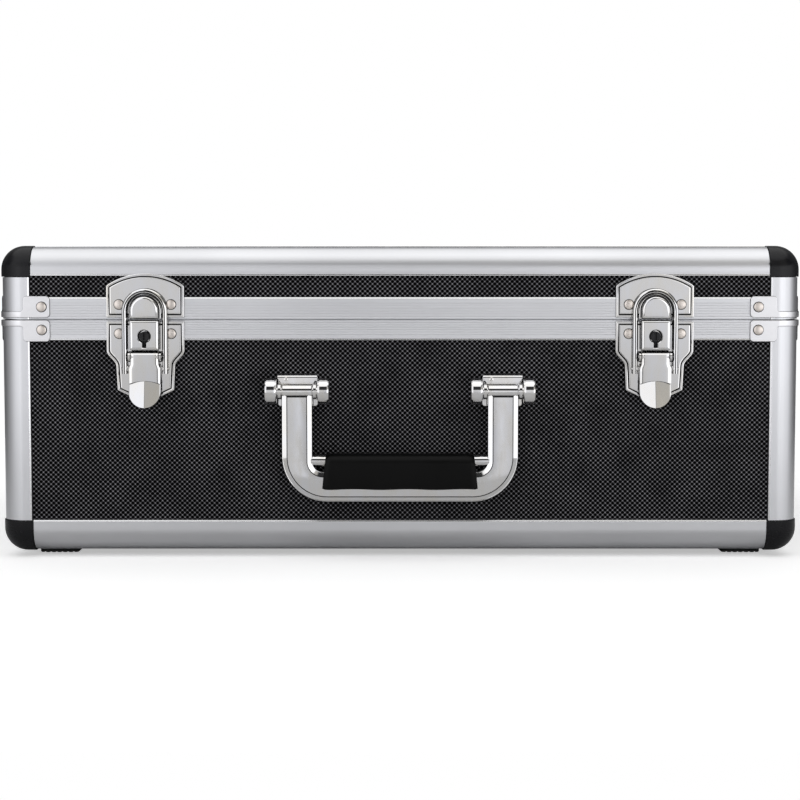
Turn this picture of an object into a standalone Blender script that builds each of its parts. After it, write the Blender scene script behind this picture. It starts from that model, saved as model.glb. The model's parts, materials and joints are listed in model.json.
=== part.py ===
"""Aluminium-framed attache case: a base, a hinged lid, two draw latches with key locks and a drop handle.

The case rests on its feet at Z = 0 with its front facing -Y and its length along X.
Every size here is in millimetres, and node() turns each finished solid into metres.
Heights are measured from the underside of the case body, which stands FOOT_HEIGHT above Z = 0.
On the front, "proud" is the distance in front of the body's front face, towards -Y.
"""

import math

import bmesh
import bpy
from mathutils import Matrix, Vector

MM = 0.001

# Case body
BODY_LENGTH = 460.0
BODY_DEPTH = 330.0
BODY_HEIGHT = 175.8
PARTING_HEIGHT = 134.2
EDGE_RADIUS = 13.0
SHEET = 1.2
GAP = 0.3

# What stands out of the body in front (the handle's bosses) and behind (the hinges)
FRONT_PROUD = 16.6
REAR_PROUD = 7.1

# Boards that the extrusions hold
BOARD = 5.0
BOARD_INSET = 1.6
BOARD_EDGE_INSET = 11.5
INNER_SKIN = 7.1

# Edge extrusions, corner posts and the closure frames
LID_EDGE_LEG = 16.5
BASE_EDGE_LEG = 18.4
FLAT_LEG = 16.5
POST_LEG = 17.3
FRAME_SKIN = 12.5
TONGUE_INSET = 4.0
TONGUE_WIDTH = 1.6
TONGUE_RISE = 3.5
BASE_WEB = 1.5
LID_WEB_LOW = 4.5
LID_WEB_HIGH = 6.0
WEB_REACH = 2.0
RIB_REACH = 5.2
RIB_HALF = 0.42

# Ball-corner caps
CAP_REACH = 18.0
CAP_PROUD = 0.7

# Corner brackets along the parting line
BRACKET_PROUD = 1.1
BRACKET_TAB_START = 13.9
BRACKET_TAB_END = 29.2
BRACKET_START = 1.2
BRACKET_STRIP = 3.5
BRACKET_HEIGHT = 12.3

# Feet
FOOT_HEIGHT = 3.5
FOOT_WIDTH = 23.3
FOOT_X = 200.7
FOOT_FROM_FACE = 21.0
FOOT_CORNER = 4.0

# Rear hinges
HINGE_X = 146.0
HINGE_LENGTH = 50.0
HINGE_AXIS_PROUD = 4.3
KNUCKLE_RADIUS = 2.8
HINGE_PIN_RADIUS = 1.4
HINGE_HEAD_RADIUS = 2.3
HINGE_HEAD_END = 1.5
LEAF_THICKNESS = 1.5
LEAF_HEIGHT = 12.0
LEAF_FREE = 2.2
LEAF_NECK = 4.0

# Draw latches
LATCH_X = 146.0
LATCH_HALF = 22.3
PLATE_BACK = 0.3
PLATE_FRONT = 1.3
PLATEAU_FRONT = 1.7
PLATEAU_INSET = 2.5
LATCH_FRONT = 7.6
KEEPER_BOTTOM = 135.45
KEEPER_SHOULDER = 153.7
KEEPER_TOP = 160.6
DOME_HALF = 8.0
DOME_BOTTOM = 135.0
DOME_TOP = 147.5
DOME_RIM = 1.2
DOME_RIM_FRONT = 3.2
PLATE_TOP = 133.2
PLATE_SHOULDER = 116.3
PLATE_WAIST = 107.5
PLATE_WAIST_HALF = 16.9
PLATE_HIP = 93.7
PLATE_HIP_HALF = 16.2
PLATE_TOE = 90.3
PLATE_TOE_HALF = 9.0
LOCK_HALF = 8.3
LOCK_BOTTOM = 117.0
LOCK_TOP = 133.9
LOCK_WALL = 1.3
KEYHOLE_HEIGHT = 124.8
KEYHOLE_RADIUS = 3.5
KEYHOLE_SLOT = 1.9
KEYHOLE_DROP = 6.3

# Latch lever, bail and lock cam
LEVER_AXIS_PROUD = 4.4
LEVER_AXIS_HEIGHT = 113.1
LEVER_KNUCKLE = 3.2
LEVER_KNUCKLE_HALF = 7.9
LEVER_HALF = 9.0
LEVER_SKIN = 1.4
LEVER_SHOULDER = 108.9
LEVER_BOTTOM = 84.1
LEVER_FLANGE_FOOT = (5.4, 97.5)
LEVER_FLANGE_END = 100.0
LEVER_PIN_RADIUS = 1.2
LEVER_EAR_INNER = 8.2
LEVER_EAR_OUTER = 9.4
LEVER_EAR_RADIUS = 2.6
WINDOW_HALF = 8.15
WINDOW_BOTTOM = 109.3
WINDOW_TOP = 116.8
BAIL_AXIS_PROUD = 4.0
BAIL_AXIS_HEIGHT = 106.2
BAIL_OUTER_HALF = 13.15
BAIL_ROD = 1.6
BAIL_TOP = 152.2
BAIL_PIN_RADIUS = 1.0
BAIL_HUB = 1.95
CAM_HUB = 2.8
CAM_BACK = 2.6
CAM_PLATE = 1.4
CAM_FRONT = 6.2
CAM_REACH = 6.2

# Drop handle
ARM_X = 58.7
ARM_HALF = 8.75
HANDLE_AXIS_PROUD = 9.0
HANDLE_AXIS_HEIGHT = 93.6
HANDLE_BOTTOM = 29.4
HANDLE_HALF_THICKNESS = 4.0
HANDLE_OUTER_RADIUS = 26.0
HANDLE_INNER_RADIUS = 6.0
AXLE_RADIUS = 2.5
BOSS_RADIUS = 7.35
BOSS_WIDTH = 7.1
BOSS_CENTRE = 15.0
BOSS_BEVEL = 1.0
CORE_ROD = 2.4
CORE_ROD_HEIGHT = 54.4
GRIP_BOTTOM = 38.0
GRIP_TOP = 58.0
GRIP_BACK = 1.4
GRIP_FRONT = 16.6
GRIP_HALF_TOP = 42.2
GRIP_HALF_BOTTOM = 44.35
GRIP_ROUND = 6.0
MOUNT_PLATE_HALF = 11.3
MOUNT_PLATE_BOTTOM = 84.5
MOUNT_PLATE_TOP = 102.8
MOUNT_PLATE_FRONT = 0.7
MOUNT_EAR_INNER = 9.15
MOUNT_EAR_OUTER = 11.0
MOUNT_EAR_RADIUS = 4.6
MOUNT_EAR_FOOT = 5.0
STOP_LIP_PROUD = 7.5
STOP_LIP_HEIGHT = 98.1
STOP_LIP_HALF = 9.1
STOP_LIP_END = 1.2
STOP_LIP_ROOT = 2.6

# Foam linings
LINING_INSET = 9.0
BASE_MAT = 10.0
LID_PAD = 15.0

# Smoothness
ARC_STEPS = 5
BALL_STEPS = 5
ROUND_STEPS = 16

HALF_X = BODY_LENGTH / 2
HALF_Y = BODY_DEPTH / 2
FRONT_Y = -(BODY_DEPTH + FRONT_PROUD + REAR_PROUD) / 2 + FRONT_PROUD
REAR_Y = FRONT_Y + BODY_DEPTH
MID_Y = (FRONT_Y + REAR_Y) / 2
PARTING_Z = FOOT_HEIGHT + PARTING_HEIGHT
TOP_Z = FOOT_HEIGHT + BODY_HEIGHT
SIDES = (("left", -1), ("right", 1))
CORNERS = [
    (f"{depth}_{side}", x_sign, y_sign)
    for depth, y_sign in (("front", -1), ("rear", 1))
    for side, x_sign in SIDES
]

# Colour, roughness and metallic value of each finish
FINISHES = {
    "anodised": ((0.66, 0.67, 0.69), 0.38, 1.0),
    "laminate": ((0.02, 0.02, 0.022), 0.45, 0.0),
    "cap_plastic": ((0.012, 0.012, 0.013), 0.22, 0.0),
    "nickel": ((0.78, 0.77, 0.76), 0.24, 1.0),
    "chrome": ((0.86, 0.86, 0.87), 0.09, 1.0),
    "grip_plastic": ((0.015, 0.015, 0.016), 0.4, 0.0),
    "rubber": ((0.02, 0.02, 0.02), 0.75, 0.0),
    "hinge_steel": ((0.62, 0.62, 0.63), 0.3, 1.0),
    "lock_zinc": ((0.2, 0.2, 0.2), 0.45, 1.0),
    "foam": ((0.035, 0.035, 0.038), 0.95, 0.0),
}


# ---------------------------------------------------------------- geometry helpers


def height(above_body_bottom):
    return FOOT_HEIGHT + above_body_bottom


def front(proud):
    return FRONT_Y - proud


def rear(proud):
    return REAR_Y + proud


def arc(centre, radius, start, end, steps=ARC_STEPS):
    """Points of a circular arc between two angles in degrees, both ends included."""
    angles = [math.radians(start + (end - start) * i / steps) for i in range(steps + 1)]
    return [
        (centre[0] + radius * math.cos(a), centre[1] + radius * math.sin(a))
        for a in angles
    ]


def circle(centre, radius, steps=ROUND_STEPS):
    return arc(centre, radius, 0, 360, steps)[:-1]


def rounded_rectangle(x_low, x_high, y_low, y_high, radius, steps=ARC_STEPS):
    corners = (
        (x_high - radius, y_high - radius, 0),
        (x_low + radius, y_high - radius, 90),
        (x_low + radius, y_low + radius, 180),
        (x_high - radius, y_low + radius, 270),
    )
    points = []
    for x, y, start in corners:
        points += arc((x, y), radius, start, start + 90, steps)
    return points


def rectangle(x_low, x_high, y_low, y_high):
    return [(x_low, y_low), (x_high, y_low), (x_high, y_high), (x_low, y_high)]


def mirrored(outline):
    """The outline's right half, listed top to bottom, closed by its mirror image."""
    return outline + [(-x, z) for x, z in reversed(outline)]


def solid_from(points, faces):
    """A closed body with its faces turned outwards."""
    mesh = bpy.data.meshes.new("solid")
    mesh.from_pydata(points, [], faces)
    work = bmesh.new()
    work.from_mesh(mesh)
    bmesh.ops.recalc_face_normals(work, faces=work.faces)
    work.to_mesh(mesh)
    work.free()
    solid = bpy.data.objects.new("solid", mesh)
    bpy.context.scene.collection.objects.link(solid)
    return solid


def prism(outline, low, high, axis):
    """An outline pushed along an axis; its two coordinates are the other axes in X, Y, Z order."""
    place = {
        "X": lambda a, b, along: (along, a, b),
        "Y": lambda a, b, along: (a, along, b),
        "Z": lambda a, b, along: (a, b, along),
    }[axis]
    count = len(outline)
    points = [place(a, b, along) for along in (low, high) for a, b in outline]
    sides = [
        (i, (i + 1) % count, (i + 1) % count + count, i + count) for i in range(count)
    ]
    ends = [tuple(range(count)), tuple(range(count, 2 * count))]
    return solid_from(points, sides + ends)


def box(x_low, x_high, y_low, y_high, z_low, z_high):
    return prism(rectangle(x_low, x_high, y_low, y_high), z_low, z_high, "Z")


def body_ring(section):
    """A section swept round the case body. Its points are (inset from the walls, world height)."""
    stations = []
    for x_sign, y_sign, start in ((1, 1, 0), (-1, 1, 90), (-1, -1, 180), (1, -1, 270)):
        for i in range(ARC_STEPS + 1):
            angle = math.radians(start + 90 * i / ARC_STEPS)
            stations.append((x_sign, y_sign, math.cos(angle), math.sin(angle)))
    points = []
    for x_sign, y_sign, cosine, sine in stations:
        for inset, z in section:
            radius = max(EDGE_RADIUS - inset, 0.5)
            x = x_sign * (HALF_X - inset - radius) + radius * cosine
            y = y_sign * (HALF_Y - inset - radius) + radius * sine
            points.append((x, MID_Y + y, z))
    size, count = len(section), len(stations)
    faces = []
    for s in range(count):
        here, there = s * size, (s + 1) % count * size
        for i in range(size):
            j = (i + 1) % size
            faces.append((here + i, here + j, there + j, there + i))
    return solid_from(points, faces)


def wall_runs(section, end_inset):
    """The same section as four straight runs, one on each wall, stopping short of the corners."""
    runs = []
    for sign in (-1, 1):
        across = [(MID_Y + sign * (HALF_Y - inset), z) for inset, z in section]
        reach = HALF_X - end_inset
        runs.append(prism(across, -reach, reach, "X"))
        along = [(sign * (HALF_X - inset), z) for inset, z in section]
        reach = HALF_Y - end_inset
        runs.append(prism(along, MID_Y - reach, MID_Y + reach, "Y"))
    return runs


def cylinder_x(x_low, x_high, y, z, radius, steps=ROUND_STEPS):
    return prism(circle((y, z), radius, steps), x_low, x_high, "X")


def cylinder_y(y_low, y_high, x, z, radius, steps=ROUND_STEPS):
    return prism(circle((x, z), radius, steps), y_low, y_high, "Y")


def boolean(body, tool, operation):
    modifier = body.modifiers.new("boolean", "BOOLEAN")
    modifier.operation = operation
    modifier.solver = "EXACT"
    modifier.object = tool
    graph = bpy.context.evaluated_depsgraph_get()
    result = bpy.data.meshes.new_from_object(body.evaluated_get(graph))
    body.modifiers.clear()
    before = body.data
    body.data = result
    bpy.data.meshes.remove(before)
    bpy.data.objects.remove(tool)
    return body


def united(body, *others):
    for other in others:
        boolean(body, other, "UNION")
    return body


def cut(body, *cutters):
    for cutter in cutters:
        boolean(body, cutter, "DIFFERENCE")
    return body


def bevelled(body, width, chosen, steps=2):
    """Rounds the edges whose two ends both pass the test."""
    work = bmesh.new()
    work.from_mesh(body.data)
    edges = [e for e in work.edges if all(chosen(v.co) for v in e.verts)]
    bmesh.ops.bevel(
        work,
        geom=edges,
        offset=width,
        segments=steps,
        profile=0.5,
        affect="EDGES",
        clamp_overlap=True,
    )
    work.to_mesh(body.data)
    work.free()
    return body


def material(name, finish):
    colour, roughness, metallic = FINISHES[finish]
    made = bpy.data.materials.new(name)
    made.use_nodes = True
    shader = made.node_tree.nodes["Principled BSDF"]
    shader.inputs["Base Color"].default_value = (*colour, 1.0)
    shader.inputs["Roughness"].default_value = roughness
    shader.inputs["Metallic"].default_value = metallic
    return made


def node(name, solid, finish, axis=None):
    """Names a finished solid, sizes it in metres, and hangs it on its joint's axis if it moves."""
    solid.name = name
    solid.data.name = name
    solid.data.transform(Matrix.Scale(MM, 4))
    solid.data.materials.clear()
    solid.data.materials.append(material(name, finish))
    solid.data.shade_smooth()
    solid.data.set_sharp_from_angle(angle=math.radians(35))
    if axis is not None:
        solid.parent = axis
        solid.matrix_parent_inverse = Matrix.Translation(-axis.matrix_world.translation)
    return solid


def joint_axis(name, x, y, z, parent=None):
    """An empty on a joint's axis, for the pieces that turn about it."""
    empty = bpy.data.objects.new(name, None)
    empty.empty_display_size = 0.01
    bpy.context.scene.collection.objects.link(empty)
    place = Vector((x, y, z)) * MM
    if parent is not None:
        empty.parent = parent
        place -= parent.matrix_world.translation
    empty.location = place
    bpy.context.view_layer.update()
    return empty


# ---------------------------------------------------------------- case body


def edge_ring(outside_z, inwards, leg):
    """An edge extrusion: rounded outer skins between the caps, and an inner angle right round."""

    def section(points):
        return [(inset, outside_z + inwards * depth) for inset, depth in points]

    inner = INNER_SKIN + SHEET
    rib_out, rib_in = RIB_REACH + RIB_HALF, RIB_REACH - RIB_HALF
    rib_meets = INNER_SKIN + 2 * RIB_HALF
    angle = body_ring(
        section(
            [
                (rib_out, rib_in),
                (rib_meets, INNER_SKIN),
                (FLAT_LEG, INNER_SKIN),
                (FLAT_LEG, inner),
                (inner, inner),
                (inner, leg),
                (INNER_SKIN, leg),
                (INNER_SKIN, rib_meets),
                (rib_in, rib_out),
            ]
        )
    )
    centre = (EDGE_RADIUS, EDGE_RADIUS)
    bend = EDGE_RADIUS - SHEET
    root = RIB_REACH + 2 * RIB_HALF
    skin = [(0, leg), *arc(centre, EDGE_RADIUS, 180, 270)]
    skin += [(FLAT_LEG, 0), (FLAT_LEG, SHEET)]
    skin += arc(centre, bend, 270, 228, 2)
    skin += [(root + RIB_HALF, root - RIB_HALF), (root - RIB_HALF, root + RIB_HALF)]
    skin += arc(centre, bend, 222, 180, 2)
    skin += [(SHEET, leg)]
    return united(angle, *wall_runs(section(skin), CAP_REACH + GAP))


def closure_frame(ring, skin):
    """A closure frame: a ring right round, and outer skins between the corner posts."""

    def lifted(points):
        return [(inset, PARTING_Z + rise) for inset, rise in points]

    return united(body_ring(lifted(ring)), *wall_runs(lifted(skin), POST_LEG + GAP))


def base_frame():
    web, inner = -GAP - BASE_WEB, INNER_SKIN + SHEET
    low = -FRAME_SKIN
    tongue_end = TONGUE_INSET + TONGUE_WIDTH
    ring = [
        (BOARD_INSET, web),
        (BOARD_INSET, -GAP),
        (TONGUE_INSET, -GAP),
        (TONGUE_INSET, TONGUE_RISE),
        (tongue_end, TONGUE_RISE),
        (tongue_end, -GAP),
        (inner, -GAP),
        (inner, low),
        (INNER_SKIN, low),
        (INNER_SKIN, web),
    ]
    skin = [(0, low), (0, -GAP), (WEB_REACH, -GAP), (WEB_REACH, web), (SHEET, web), (SHEET, low)]
    return closure_frame(ring, skin)


def lid_frame():
    inner, high = INNER_SKIN + SHEET, FRAME_SKIN + GAP
    ring = [
        (BOARD_INSET, LID_WEB_LOW),
        (BOARD_INSET, LID_WEB_HIGH),
        (INNER_SKIN, LID_WEB_HIGH),
        (INNER_SKIN, high),
        (inner, high),
        (inner, GAP),
        (INNER_SKIN, GAP),
        (INNER_SKIN, LID_WEB_LOW),
    ]
    skin = [
        (0, GAP),
        (0, high),
        (SHEET, high),
        (SHEET, LID_WEB_HIGH),
        (WEB_REACH, LID_WEB_HIGH),
        (WEB_REACH, LID_WEB_LOW),
        (SHEET, LID_WEB_LOW),
        (SHEET, GAP),
    ]
    return closure_frame(ring, skin)


def wall_board(low, high):
    inside = BOARD_INSET + BOARD
    return body_ring([(BOARD_INSET, low), (BOARD_INSET, high), (inside, high), (inside, low)])


def flat_board(inset, low, high):
    radius = max(EDGE_RADIUS - inset, 1.5)
    outline = rounded_rectangle(
        -(HALF_X - inset),
        HALF_X - inset,
        FRONT_Y + inset,
        REAR_Y - inset,
        radius,
        3,
    )
    return prism(outline, low, high, "Z")


def corner_angle(x_sign, y_sign, outside, inside, leg):
    """Plan of an angle bent round a vertical corner, between two insets from the walls."""
    centre = (EDGE_RADIUS, EDGE_RADIUS)
    plan = [(leg, outside), *arc(centre, EDGE_RADIUS - outside, 270, 180), (outside, leg)]
    plan += [(inside, leg), *arc(centre, EDGE_RADIUS - inside, 180, 270), (leg, inside)]
    return [(x_sign * (HALF_X - a), MID_Y + y_sign * (HALF_Y - b)) for a, b in plan]


def corner_post(x_sign, y_sign, low, high):
    return prism(corner_angle(x_sign, y_sign, 0, SHEET, POST_LEG), low, high, "Z")


def ball_block(x_sign, y_sign, z_sign, outside_z, inset, reach, open_ends):
    """A block filling a corner of the body, with its ball corner inset from the three faces."""
    radius = EDGE_RADIUS - inset
    far = reach + open_ends
    x_near, y_near = HALF_X - inset, HALF_Y - inset
    x_limits = sorted((x_sign * x_near, x_sign * (HALF_X - far)))
    y_limits = sorted((MID_Y + y_sign * y_near, MID_Y + y_sign * (HALF_Y - far)))
    z_limits = sorted((outside_z - z_sign * inset, outside_z - z_sign * far))
    block = box(*x_limits, *y_limits, *z_limits)
    tip = Vector((x_sign * x_near, MID_Y + y_sign * y_near, outside_z - z_sign * inset))
    work = bmesh.new()
    work.from_mesh(block.data)
    corner = min(work.verts, key=lambda v: (v.co - tip).length)
    bmesh.ops.bevel(
        work,
        geom=list(corner.link_edges),
        offset=radius,
        segments=BALL_STEPS,
        profile=0.5,
        affect="EDGES",
    )
    work.to_mesh(block.data)
    work.free()
    return block


def corner_cap(x_sign, y_sign, z_sign, outside_z):
    shell = ball_block(x_sign, y_sign, z_sign, outside_z, -CAP_PROUD, CAP_REACH, 0)
    hollow = ball_block(x_sign, y_sign, z_sign, outside_z, SHEET, CAP_REACH, 2)
    return cut(shell, hollow)


def corner_bracket(x_sign, y_sign, z_sign):
    """A bent strip along the parting line, with a riveted tab on each wall."""
    low = PARTING_Z + z_sign * BRACKET_START
    strip_end = low + z_sign * BRACKET_STRIP
    high = low + z_sign * BRACKET_HEIGHT
    plan = corner_angle(x_sign, y_sign, -BRACKET_PROUD, -GAP, BRACKET_TAB_END)
    blank = prism(plan, low, high, "Z")
    x_limits = sorted((x_sign * (HALF_X + 5), x_sign * (HALF_X - BRACKET_TAB_START)))
    y_limits = sorted(
        (MID_Y + y_sign * (HALF_Y + 5), MID_Y + y_sign * (HALF_Y - BRACKET_TAB_START))
    )
    waste = box(*x_limits, *y_limits, *sorted((strip_end, high + z_sign)))
    return cut(blank, waste)


def foot(x_sign, y_sign):
    y_edge = HALF_Y - FOOT_FROM_FACE
    y_limits = sorted((MID_Y + y_sign * y_edge, MID_Y + y_sign * (y_edge - FOOT_WIDTH)))
    outline = rounded_rectangle(
        x_sign * FOOT_X - FOOT_WIDTH / 2,
        x_sign * FOOT_X + FOOT_WIDTH / 2,
        *y_limits,
        FOOT_CORNER,
        3,
    )
    return prism(outline, 0, height(BOARD_INSET) - GAP, "Z")


def build_body(lid_axis):
    node(
        "base_bottom_panel",
        flat_board(BOARD_EDGE_INSET, height(BOARD_INSET), height(BOARD_INSET + BOARD)),
        "laminate",
    )
    wall_top = PARTING_Z - GAP - 1.5 - GAP
    node("base_wall_panel", wall_board(height(BOARD_EDGE_INSET), wall_top), "laminate")
    node("base_edge", edge_ring(FOOT_HEIGHT, 1, BASE_EDGE_LEG), "anodised")
    node("base_frame", base_frame(), "anodised")
    mat_low = height(INNER_SKIN + SHEET) + GAP
    node("base_foam_mat", flat_board(LINING_INSET, mat_low, mat_low + BASE_MAT), "foam")
    node(
        "lid_top_panel",
        flat_board(BOARD_EDGE_INSET, TOP_Z - BOARD_INSET - BOARD, TOP_Z - BOARD_INSET),
        "laminate",
        lid_axis,
    )
    lid_wall = wall_board(PARTING_Z + 6.0 + GAP, TOP_Z - BOARD_EDGE_INSET)
    node("lid_wall_panel", lid_wall, "laminate", lid_axis)
    node("lid_edge", edge_ring(TOP_Z, -1, LID_EDGE_LEG), "anodised", lid_axis)
    node("lid_frame", lid_frame(), "anodised", lid_axis)
    pad_high = TOP_Z - INNER_SKIN - SHEET - GAP
    lid_pad = flat_board(LINING_INSET, pad_high - LID_PAD, pad_high)
    node("lid_foam_pad", lid_pad, "foam", lid_axis)
    for where, x_sign, y_sign in CORNERS:
        post_low = FOOT_HEIGHT + CAP_REACH + GAP
        post = corner_post(x_sign, y_sign, post_low, PARTING_Z - GAP)
        node(f"base_post_{where}", post, "anodised")
        post = corner_post(x_sign, y_sign, PARTING_Z + GAP, TOP_Z - CAP_REACH - GAP)
        node(f"lid_post_{where}", post, "anodised", lid_axis)
        cap = corner_cap(x_sign, y_sign, -1, FOOT_HEIGHT)
        node(f"base_corner_cap_{where}", cap, "cap_plastic")
        cap = corner_cap(x_sign, y_sign, 1, TOP_Z)
        node(f"lid_corner_cap_{where}", cap, "cap_plastic", lid_axis)
        bracket = corner_bracket(x_sign, y_sign, -1)
        node(f"base_corner_bracket_{where}", bracket, "nickel")
        bracket = corner_bracket(x_sign, y_sign, 1)
        node(f"lid_corner_bracket_{where}", bracket, "nickel", lid_axis)
        node(f"foot_{where}", foot(x_sign, y_sign), "rubber")


# ---------------------------------------------------------------- hinges


def hinge_leaf(centre_x, z_sign, knuckles):
    """A leaf on the rear wall, with a bored knuckle over each of the given stretches."""
    half = HINGE_LENGTH / 2
    z_limits = sorted(PARTING_Z + z_sign * rise for rise in (LEAF_FREE, LEAF_HEIGHT))
    leaf_y = (rear(GAP), rear(GAP + LEAF_THICKNESS))
    leaf = box(centre_x - half, centre_x + half, *leaf_y, *z_limits)
    axis_y = rear(HINGE_AXIS_PROUD)
    for low, high in knuckles:
        neck_z = sorted((PARTING_Z, PARTING_Z + z_sign * LEAF_NECK))
        neck = box(centre_x + low, centre_x + high, rear(GAP), axis_y, *neck_z)
        barrel = cylinder_x(
            centre_x + low, centre_x + high, axis_y, PARTING_Z, KNUCKLE_RADIUS
        )
        united(leaf, neck, barrel)
    bore = cylinder_x(
        centre_x - half - 1,
        centre_x + half + 1,
        axis_y,
        PARTING_Z,
        HINGE_PIN_RADIUS + GAP,
    )
    return cut(leaf, bore)


def hinge_pin(centre_x):
    axis_y, half = rear(HINGE_AXIS_PROUD), HINGE_LENGTH / 2
    pin = cylinder_x(
        centre_x - half - 1, centre_x + half + 1, axis_y, PARTING_Z, HINGE_PIN_RADIUS
    )
    for sign in (-1, 1):
        ends = sorted((centre_x + sign * (half + GAP), centre_x + sign * (half + HINGE_HEAD_END)))
        united(pin, cylinder_x(*ends, axis_y, PARTING_Z, HINGE_HEAD_RADIUS))
    return pin


def build_hinges(lid_axis):
    half, third = HINGE_LENGTH / 2, HINGE_LENGTH / 6
    for side, sign in SIDES:
        centre_x = sign * HINGE_X
        outer = [(-half, -third - GAP / 2), (third + GAP / 2, half)]
        inner = [(-third + GAP / 2, third - GAP / 2)]
        node(f"hinge_base_leaf_{side}", hinge_leaf(centre_x, -1, outer), "hinge_steel")
        leaf = hinge_leaf(centre_x, 1, inner)
        node(f"hinge_lid_leaf_{side}", leaf, "hinge_steel", lid_axis)
        node(f"hinge_pin_{side}", hinge_pin(centre_x), "hinge_steel")


# ---------------------------------------------------------------- latches


def shifted(outline, centre_x):
    return [(centre_x + x, height(z)) for x, z in outline]


def front_plate(outline, centre_x, back, face):
    """An outline drawn on the front, in (offset from the centre, height), given a thickness."""
    return prism(shifted(outline, centre_x), front(face), front(back), "Y")


def keeper_outline(inset, bottom):
    """Straight sides under a shallow arch."""
    rise, half = KEEPER_TOP - KEEPER_SHOULDER, LATCH_HALF
    radius = (half * half + rise * rise) / (2 * rise)
    centre_z = KEEPER_TOP - radius
    radius -= inset
    half -= inset
    spread = math.degrees(math.asin(half / radius))
    top = arc((0, centre_z), radius, 90, 90 - spread, 6)
    return mirrored(top[1:] + [(half, bottom)]) + [top[0]]


def dome_outline(half, top):
    centre_z = top - half
    return arc((0, centre_z), half, 180, 0, 8) + [(half, DOME_BOTTOM), (-half, DOME_BOTTOM)]


def keeper_plate(centre_x):
    plate = front_plate(
        keeper_outline(0, KEEPER_BOTTOM), centre_x, PLATE_BACK, PLATE_FRONT
    )
    plateau = keeper_outline(PLATEAU_INSET, KEEPER_BOTTOM + 0.6)
    rim = dome_outline(DOME_HALF + DOME_RIM, DOME_TOP + DOME_RIM)
    return united(
        plate,
        front_plate(plateau, centre_x, PLATE_FRONT - 0.5, PLATEAU_FRONT),
        front_plate(rim, centre_x, PLATE_FRONT - 0.3, DOME_RIM_FRONT),
        front_plate(
            dome_outline(DOME_HALF, DOME_TOP), centre_x, PLATE_FRONT - 0.1, LATCH_FRONT
        ),
    )


def base_plate_outline(inset):
    """Straight sides, an S-shaped waist and a toe that closes in under the lever."""
    steps = 5
    waist = []
    for i in range(1, steps):
        share = i / steps
        blend = (1 - math.cos(math.pi * share)) / 2
        x = LATCH_HALF + (PLATE_WAIST_HALF - LATCH_HALF) * blend
        waist.append((x - inset, PLATE_SHOULDER + (PLATE_WAIST - PLATE_SHOULDER) * share))
    right = [
        (LATCH_HALF - inset, PLATE_TOP - inset * 0.3),
        (LATCH_HALF - inset, PLATE_SHOULDER),
        *waist,
        (PLATE_WAIST_HALF - inset, PLATE_WAIST),
        (PLATE_HIP_HALF - inset, PLATE_HIP + inset * 0.5),
        (PLATE_TOE_HALF, PLATE_TOE + inset),
    ]
    return mirrored(right)


def latch_base_plate(centre_x):
    """The plate below the parting line: the lock's box, two ears and a window behind the lever."""
    plate = front_plate(base_plate_outline(0), centre_x, PLATE_BACK, PLATE_FRONT)
    united(
        plate,
        front_plate(
            base_plate_outline(PLATEAU_INSET), centre_x, PLATE_FRONT - 0.5, PLATEAU_FRONT
        ),
    )
    lock = rectangle(-LOCK_HALF, LOCK_HALF, LOCK_BOTTOM, LOCK_TOP)
    united(plate, front_plate(lock, centre_x, PLATE_FRONT - 0.3, LATCH_FRONT))
    axis = (front(LEVER_AXIS_PROUD), height(LEVER_AXIS_HEIGHT))
    for sign in (-1, 1):
        reach = sorted(
            (centre_x + sign * LEVER_EAR_INNER, centre_x + sign * LEVER_EAR_OUTER)
        )
        ear = prism(
            [
                (front(PLATE_FRONT), axis[1] - LEVER_EAR_RADIUS),
                *arc(axis, LEVER_EAR_RADIUS, 270, 90, 8),
                (front(PLATE_FRONT), axis[1] + LEVER_EAR_RADIUS),
            ],
            *reach,
            "X",
        )
        united(plate, ear)
    half = LOCK_HALF - LOCK_WALL
    cavity = rectangle(-half, half, LOCK_BOTTOM + LOCK_WALL, LOCK_TOP - LOCK_WALL)
    slot_half = KEYHOLE_SLOT / 2
    slot = rectangle(-slot_half, slot_half, KEYHOLE_HEIGHT - KEYHOLE_DROP, KEYHOLE_HEIGHT)
    keyhole = circle((0, KEYHOLE_HEIGHT), KEYHOLE_RADIUS)
    window = rectangle(-WINDOW_HALF, WINDOW_HALF, WINDOW_BOTTOM, WINDOW_TOP)
    return cut(
        plate,
        front_plate(window, centre_x, 0, PLATEAU_FRONT + 1),
        cylinder_x(
            centre_x - 15, centre_x + 15, *axis, LEVER_PIN_RADIUS + GAP
        ),
        front_plate(cavity, centre_x, PLATEAU_FRONT + 0.3, LATCH_FRONT - 1),
        front_plate(keyhole, centre_x, LATCH_FRONT - 2, LATCH_FRONT + 1),
        front_plate(slot, centre_x, LATCH_FRONT - 2, LATCH_FRONT + 1),
    )


def lever_skin_profile():
    """The lever's front skin from the side, in (proud, height): flat, then a scooped thumb tab."""
    front_line = [
        (LATCH_FRONT, LEVER_AXIS_HEIGHT),
        (LATCH_FRONT, 99.5),
        (6.5, 96.6),
        (6.3, 93.0),
        (7.2, 88.6),
        (9.3, LEVER_BOTTOM),
    ]
    back_line = [
        (LATCH_FRONT - LEVER_SKIN, LEVER_AXIS_HEIGHT),
        (LATCH_FRONT - LEVER_SKIN, 99.9),
        (5.1, 96.9),
        (4.9, 93.0),
        (5.8, 88.2),
        (7.7, LEVER_BOTTOM),
    ]
    return front_line + back_line[::-1]


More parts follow.
